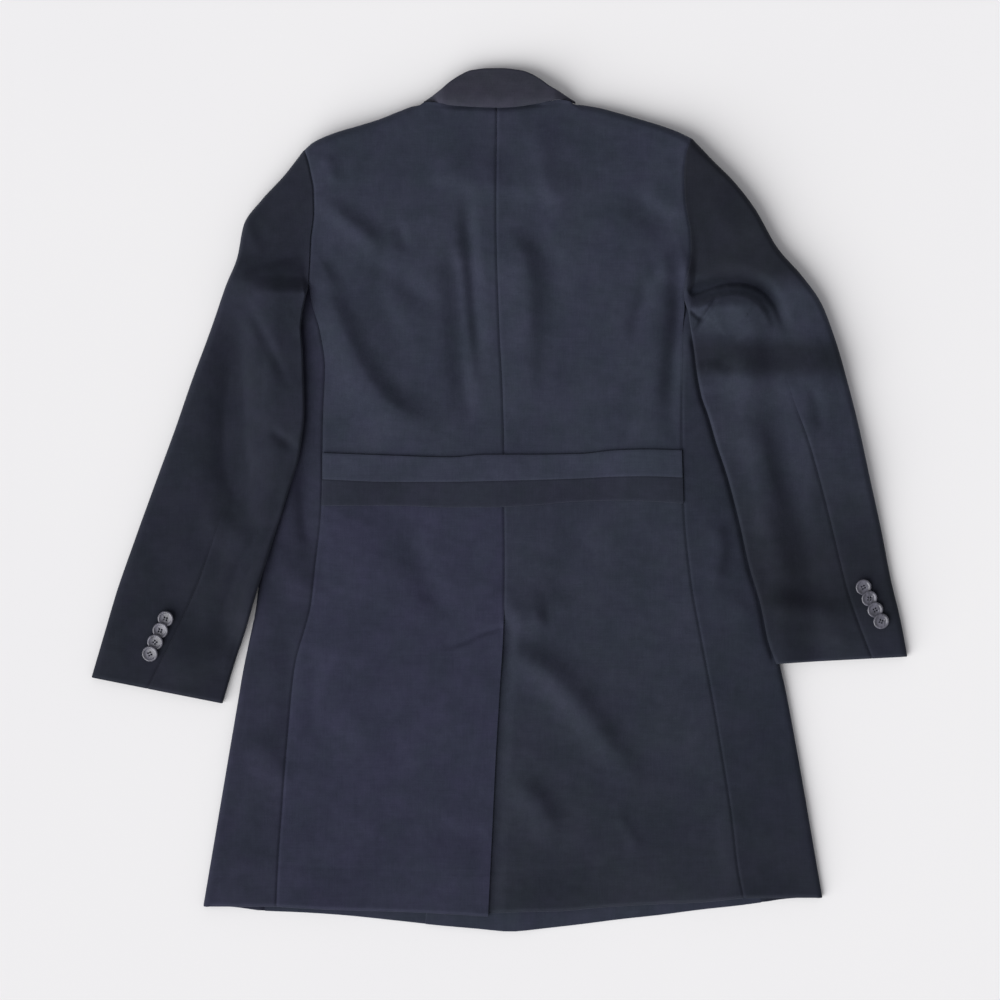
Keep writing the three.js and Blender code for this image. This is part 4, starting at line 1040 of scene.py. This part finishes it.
def collar_front_end(side):
    """A front end of the collar, flat on the floor under its front."""
    rows = np.linspace(0, len(COLLAR_END["inner_x"]) - 1, END_ROWS)
    steps = np.arange(len(COLLAR_END["inner_x"]))
    ends = {key: np.interp(rows, steps, value)[:, None] for key, value in COLLAR_END.items()}
    k = np.linspace(0, 1, END_COLUMNS)[None, :]
    x = side.sign * mix(ends["inner_x"], ends["outer_x"], k)
    y = mix(ends["inner_y"], ends["outer_y"], k)
    name = f"collar_front_{side.name}"
    shell(name, flat_up(x, y, 0, -1), COLLAR_WOOL)


# ------------------------------------------------------------------ sleeves

LIFT = {"gap": 1.7, "run": 50, "arm_start": 4, "arm_run": 22}
HEAD = {"edge": 1.6, "height": 1.25}
CUFF_SINK = {"from": -125, "to": -190}
LEAST_LOFT = 5.0  # a crease stops this far over the sleeve's underside
SOFT_STOP = 0.6


class Sleeve:
    """A laid sleeve as sections from its outer edge (u = 0) to its inner edge (u = 1)."""

    def __init__(self, side):
        self.side = side
        rows = np.array(SLEEVES[side.name], float)
        names = SLEEVE_COLUMNS.split()
        columns = {name: rows[:, i] for i, name in enumerate(names)}
        columns["section"] = np.arange(len(rows), dtype=float)
        self.at = {name: curve(columns, "section", name) for name in names}
        self.last = len(rows) - 1
        self.first = rows[0]

    def lift(self, x, y):
        """Height of the underside: over the side body where it lies on it, else the floor."""
        side = self.side
        fold = side.fold(y)
        past = side.sign * (x - fold)
        on_body = fold - side.sign * np.maximum(SIDE_ROLL, -past)
        beside = 1 - smooth(past / LIFT["run"])
        above = 1 - smooth((y - side.side_top - LIFT["arm_start"]) / LIFT["arm_run"])
        sunk = 1.0
        if side.sign < 0:
            sunk = 1 - smooth((CUFF_SINK["from"] - y) / (CUFF_SINK["from"] - CUFF_SINK["to"]))
        return (body_top(on_body, y) + LIFT["gap"]) * beside * above * sunk

    def top(self, s, u, x, y):
        """Height of the upper surface."""
        own = mix(self.at["outer_height"](s), self.at["inner_height"](s), smooth(u))
        own = own + self.side.creases(x, y) + self.side.waves(x, y) * smooth(s / HEAD["height"])
        low = self.lift(x, y)
        clear = low + LEAST_LOFT
        height = mix(low + own, body_top(x, y), 1 - smooth(s / HEAD["height"]))
        return clear + SOFT_STOP * np.log1p(np.exp((height - clear) / SOFT_STOP))

    def section(self, s, u):
        """Places at share u of section s, its direction from outer to inner edge and its width."""
        outer_x, outer_y, inner_x, inner_y = (self.at[n](s) for n in SLEEVE_COLUMNS.split()[:4])
        dx, dy = inner_x - outer_x, inner_y - outer_y
        width = np.hypot(dx, dy)
        x = outer_x + dx * u + self.shift(s, u)
        return x, outer_y + dy * u, (dx / width, dy / width), width

    def shift(self, s, u):
        """Offset of the curved armhole from the first section's straight line."""
        outer_x, outer_y, inner_x, inner_y = self.first[:4]
        y = mix(outer_y, inner_y, np.clip(u, 0, 1))
        bow = self.side.back_edge(y) + self.side.sign * SEAM_GAP - mix(outer_x, inner_x, u)
        return bow * (1 - smooth(s / HEAD["edge"]))


SLEEVE = {"length": 650, "half_width": 80, "outer_steps": 16, "inner_steps": 12, "under_steps": 15}
SECTION_PITCH = 48  # about how far apart a sleeve's sections lie
CUFF_DIP = 1.8
SEAM_SHOWS = {"left": 0.66, "right": 0.5}  # share of the sleeve above which its seam is pressed flat
SEAM_FADE = 0.15
CLOSED_SEAM = 0.06  # share of the seam's gap that is left where it is pressed flat
ARM_SEAM_DIP = {"back": 1.0, "armhole": 0.8}


def sleeve_half(form, outer_half):
    """From the back-arm seam over one edge to the seam underneath. The top sleeve goes round
    the outer edge, the under sleeve round the inner one."""
    side = form.side
    outward = -1 if outer_half else 1
    s = (stations(SLEEVE["length"], STEP) * form.last)[:, None]
    width = form.section(s, 0.0)[3]
    outer_roll = mix(SHOULDER_ROLL, CUFF_OUTER_ROLL, smooth(s))
    roll = outer_roll if outer_half else CUFF_INNER_ROLL + 0 * s
    turn = roll / width if outer_half else 1 - roll / width
    shown = smooth((s / form.last - SEAM_SHOWS[side.name]) / SEAM_FADE)
    gap = outward * SEAM_GAP / width * mix(CLOSED_SEAM, 1, shown)
    seam = form.at["back_seam"](s) + gap
    u = mix(seam, turn, stations(SLEEVE["half_width"], STEP, fine_end=False)[None, :])
    x, y, _, _ = form.section(s, u)
    dip = seam_dip(np.abs(u - seam) * width, ARM_SEAM_DIP["back"]) * shown
    dip = dip + seam_dip(s * SECTION_PITCH, ARM_SEAM_DIP["armhole"])
    dip = dip + seam_dip((form.last - s) * SECTION_PITCH, CUFF_DIP, HEM_REACH)
    upper = flat_up(x, y, form.top(s, u, x, y) + dip)

    x, y, direction, _ = form.section(s, turn)
    away = tuple(outward * d for d in direction)
    high = upper[0][:, -1:, 2]
    angles = half_turn(SLEEVE["outer_steps" if outer_half else "inner_steps"])
    places, facings = fold_round(x, y, away, roll, form.lift(x, y), high, angles)
    out = roll * np.cos(angles) / width * outward
    places[..., 0] += form.shift(s, turn + out) - form.shift(s, turn)

    u = mix(turn, FRONT_ARM_SEAM + gap, np.linspace(0, 1, SLEEVE["under_steps"] + 1)[1:])
    x, y, _, _ = form.section(s, u)
    under = flat_up(x, y, form.lift(x, y), -1)
    name = f"sleeve_{'top' if outer_half else 'under'}_{side.name}"
    grid = join_grids([upper, (places, facings), under], 1)
    shell(name, grid, SLEEVE_WOOL[side.name], rim=0.5)


# ------------------------------------------------------------------ cuff buttons

BUTTON = {"radius": 9.2, "thickness": 2.8, "pitch": 14.7, "holes": 4, "ring": 2.1, "sides": 56}
BUTTON_PROFILE = [
    (0, 0), (7.6, 0), (8.6, 0.25), (9.1, 0.9), (9.2, 1.5), (9.0, 2.2), (8.5, 2.65), (7.9, 2.8),
    (7.2, 2.72), (6.6, 2.4), (6.1, 2.05), (5.4, 1.9), (3.0, 1.8), (0, 1.78),
]
# The drill's radius and height: a straight hole that widens into the dish.
DRILL_PROFILE = [(0, -1), (0.95, -1), (0.95, 1.7), (1.35, 2.2), (0, 2.2)]
DRILL_SIDES = 16
BAR = {"radius": 0.42, "low": 1.15, "rise": 1.05, "steps": 8, "sides": 8}  # of thread
BUTTON_ROWS = {
    "left": {"x": -393, "y": -156.5, "direction": 66, "seed": 5},
    "right": {"x": 428.5, "y": -119.5, "direction": 117.5, "seed": 8},
}


def lathe(profile, sides):
    """Points and faces of a turned form about Z. The profile starts and ends on the axis."""
    ring = [(r, z) for r, z in profile if r > 0]
    angles = np.linspace(0, 2 * math.pi, sides, endpoint=False)
    points = [(r * math.cos(a), r * math.sin(a), z) for r, z in ring for a in angles]
    low, high = len(points), len(points) + 1
    points += [(0, 0, profile[0][1]), (0, 0, profile[-1][1])]
    faces = []
    for j in range(sides):
        k = (j + 1) % sides
        faces.append((low, k, j))
        for i in range(len(ring) - 1):
            a, b = i * sides, (i + 1) * sides
            faces.append((a + j, a + k, b + k, b + j))
        faces.append(((len(ring) - 1) * sides + j, (len(ring) - 1) * sides + k, high))
    return points, faces


def drilled_button():
    """A sew-through button as points and faces: a rounded rim, a shallow dish and four holes."""
    disc = bpy.data.meshes.new("button_disc")
    points, faces = lathe(BUTTON_PROFILE, BUTTON["sides"])
    disc.from_pydata(points, [], faces)
    drill = bpy.data.meshes.new("button_drill")
    drill_points, drill_faces = [], []
    for i in range(BUTTON["holes"]):
        angle = math.pi / 4 + i * math.pi / 2
        bit_points, bit_faces = lathe(DRILL_PROFILE, DRILL_SIDES)
        first = len(drill_points)
        cx, cy = BUTTON["ring"] * math.cos(angle), BUTTON["ring"] * math.sin(angle)
        drill_points += [(x + cx, y + cy, z) for x, y, z in bit_points]
        drill_faces += [tuple(first + k for k in face) for face in bit_faces]
    drill.from_pydata(drill_points, [], drill_faces)
    scene = bpy.context.scene
    body, bits = bpy.data.objects.new("button", disc), bpy.data.objects.new("drill", drill)
    scene.collection.objects.link(body)
    scene.collection.objects.link(bits)
    cut = body.modifiers.new("holes", "BOOLEAN")
    cut.operation = "DIFFERENCE"
    cut.solver = "EXACT"
    cut.object = bits
    depsgraph = bpy.context.evaluated_depsgraph_get()
    drilled = body.evaluated_get(depsgraph).to_mesh()
    result = np.array([v.co[:] for v in drilled.vertices]), [tuple(p.vertices) for p in drilled.polygons]
    body.evaluated_get(depsgraph).to_mesh_clear()
    for item in (body, bits):
        bpy.data.objects.remove(item)
    return result


def sleeve_height(form, x, y):
    """Height of a sleeve's upper surface over a point of the floor."""
    s = np.linspace(form.last - 4, form.last, 300)[:, None]  # the last four sections
    u = np.linspace(0.06, 0.94, 200)[None, :]
    px, py, _, _ = form.section(s, u)
    nearest = np.unravel_index(np.argmin(np.hypot(px - x, py - y)), px.shape)
    s, u = s[nearest[0], 0], u[0, nearest[1]]
    return float(form.top(s, u, px[nearest], py[nearest]))


def thread_bars():
    """Two short bars of thread that join the four holes across the dish."""
    points, faces = [], []
    sides, half = BAR["sides"], BUTTON["ring"] / math.sqrt(2)
    for cy in (-half, half):
        first = len(points)
        for t in np.linspace(-1, 1, BAR["steps"] + 1):
            lift = BAR["low"] + BAR["rise"] * math.sqrt(max(0.0, 1 - abs(t) ** 3))
            for a in np.linspace(0, 2 * math.pi, sides, endpoint=False):
                y = cy + BAR["radius"] * math.cos(a)
                points.append((t * half, y, lift + BAR["radius"] * math.sin(a)))
        for i in range(BAR["steps"]):
            for j in range(sides):
                a, b = first + i * sides + j, first + i * sides + (j + 1) % sides
                faces.append((a, b, b + sides, a + sides))
        faces.append(tuple(first + j for j in range(sides - 1, -1, -1)))
        faces.append(tuple(first + BAR["steps"] * sides + j for j in range(sides)))
    return np.array(points), faces


def turned(points, centre, axis, angle, spin):
    """Points spun about Z, then tilted about a level axis and moved to a centre."""
    c, s = math.cos(spin), math.sin(spin)
    points = points @ np.array([[c, s, 0], [-s, c, 0], [0, 0, 1]])
    axis = np.array(axis)
    across = np.cross(axis, points)
    along = np.outer(points @ axis, axis)
    return points * math.cos(angle) + across * math.sin(angle) + along * (1 - math.cos(angle)) + centre


def cuff_buttons(form, button, bars):
    """Four buttons, each tilted onto the one before it, so that the lowest lies on top."""
    side = form.side
    row = BUTTON_ROWS[side.name]
    angle = math.radians(row["direction"])
    along = np.array([math.cos(angle), math.sin(angle), 0])
    tilt = math.asin((BUTTON["thickness"] + SEAM_GAP) / BUTTON["pitch"])
    reach = BUTTON["radius"] * math.cos(tilt)
    draw = np.random.default_rng(row["seed"])
    for i in range(4):
        x, y = np.array([row["x"], row["y"]]) + along[:2] * (1.5 - i) * BUTTON["pitch"]
        foot = sleeve_height(form, x - along[0] * reach, y - along[1] * reach)
        ahead = sleeve_height(form, x + along[0] * reach, y + along[1] * reach)
        slope = tilt + math.atan2(ahead - foot, 2 * reach)
        centre = (x, y, foot + SEAM_GAP + BUTTON["radius"] * math.sin(slope))
        spin = draw.uniform(0, math.pi / 2)
        where = (centre, (along[1], -along[0], 0), slope, spin)
        name = f"button_{side.name}_{i + 1}"
        disc = smooth_mesh(name, turned(button[0], *where), button[1])
        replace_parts(add_piece(name, disc, HORN), name)
        thread = f"thread_{side.name}_{i + 1}"
        sewing = smooth_mesh(thread, turned(bars[0], *where), bars[1])
        add_piece(thread, sewing, THREAD)


# ------------------------------------------------------------------ making

button, bars = drilled_button(), thread_bars()
for side in (LEFT, RIGHT):
    back_panel(side)
    skirt_panel(side)
    side_panel(side)
    front_panel(side)
    collar_front_end(side)
    sleeve = Sleeve(side)
    sleeve_half(sleeve, True)
    sleeve_half(sleeve, False)
    cuff_buttons(sleeve, button, bars)
belt_band("belt_upper", UPPER_BELT_WOOL, "middle", "high", SEAM_GAP, UPPER_BAND_LIFT)
belt_band("belt_lower", LOWER_BELT_WOOL, "low", "middle", 0, 0)
collar()

# ------------------------------------------------------------------ floor, light and camera

FLOOR_GAP = 0.4 * MM
FLOOR_HALF = 16.0  # metres, so that it fills the view from low down too
corners = [(-1, -1), (1, -1), (1, 1), (-1, 1)]
floor_points = [(x * FLOOR_HALF, y * FLOOR_HALF, -FLOOR_GAP) for x, y in corners]
floor_mesh = bpy.data.meshes.new("floor")
floor_mesh.from_pydata(floor_points, [], [(0, 1, 2, 3)])
floor_mesh.materials.append(paper_floor())
floor = bpy.data.objects.new("floor", floor_mesh)
bpy.context.scene.collection.objects.link(floor)

# One large window low at the lower left, and a dimmer even glow from all round.
WINDOW = {"azimuth": 222, "elevation": 33, "spread": 66, "strength": 3.82}
GLOW = 0.395
window = bpy.data.lights.new("window_light", "SUN")
window.energy = WINDOW["strength"]
window.angle = math.radians(WINDOW["spread"])
lamp = bpy.data.objects.new("window_light", window)
lamp.rotation_euler = (0, math.radians(90 - WINDOW["elevation"]), math.radians(WINDOW["azimuth"]))
bpy.context.scene.collection.objects.link(lamp)

world = bpy.data.worlds.new("studio")
world.use_nodes = True
sky = world.node_tree.nodes["Background"]
sky.inputs["Color"].default_value = colour("fbfbff")
sky.inputs["Strength"].default_value = GLOW
bpy.context.scene.world = world
bpy.context.scene.view_settings.view_transform = "Standard"

# The camera looks straight down. Its view is as wide as the picture at the cloth's level.
CAMERA_PLACE = (0.0006, 0, 5.0)
CLOTH_LEVEL = 0.015
PICTURE_WIDTH = 1.15
SENSOR = 36
camera_data = bpy.data.cameras.new("camera")
camera_data.sensor_width = SENSOR
camera_data.lens = SENSOR * (CAMERA_PLACE[2] - CLOTH_LEVEL) / PICTURE_WIDTH
camera = bpy.data.objects.new("camera", camera_data)
camera.location = CAMERA_PLACE
bpy.context.scene.collection.objects.link(camera)
bpy.context.scene.camera = camera
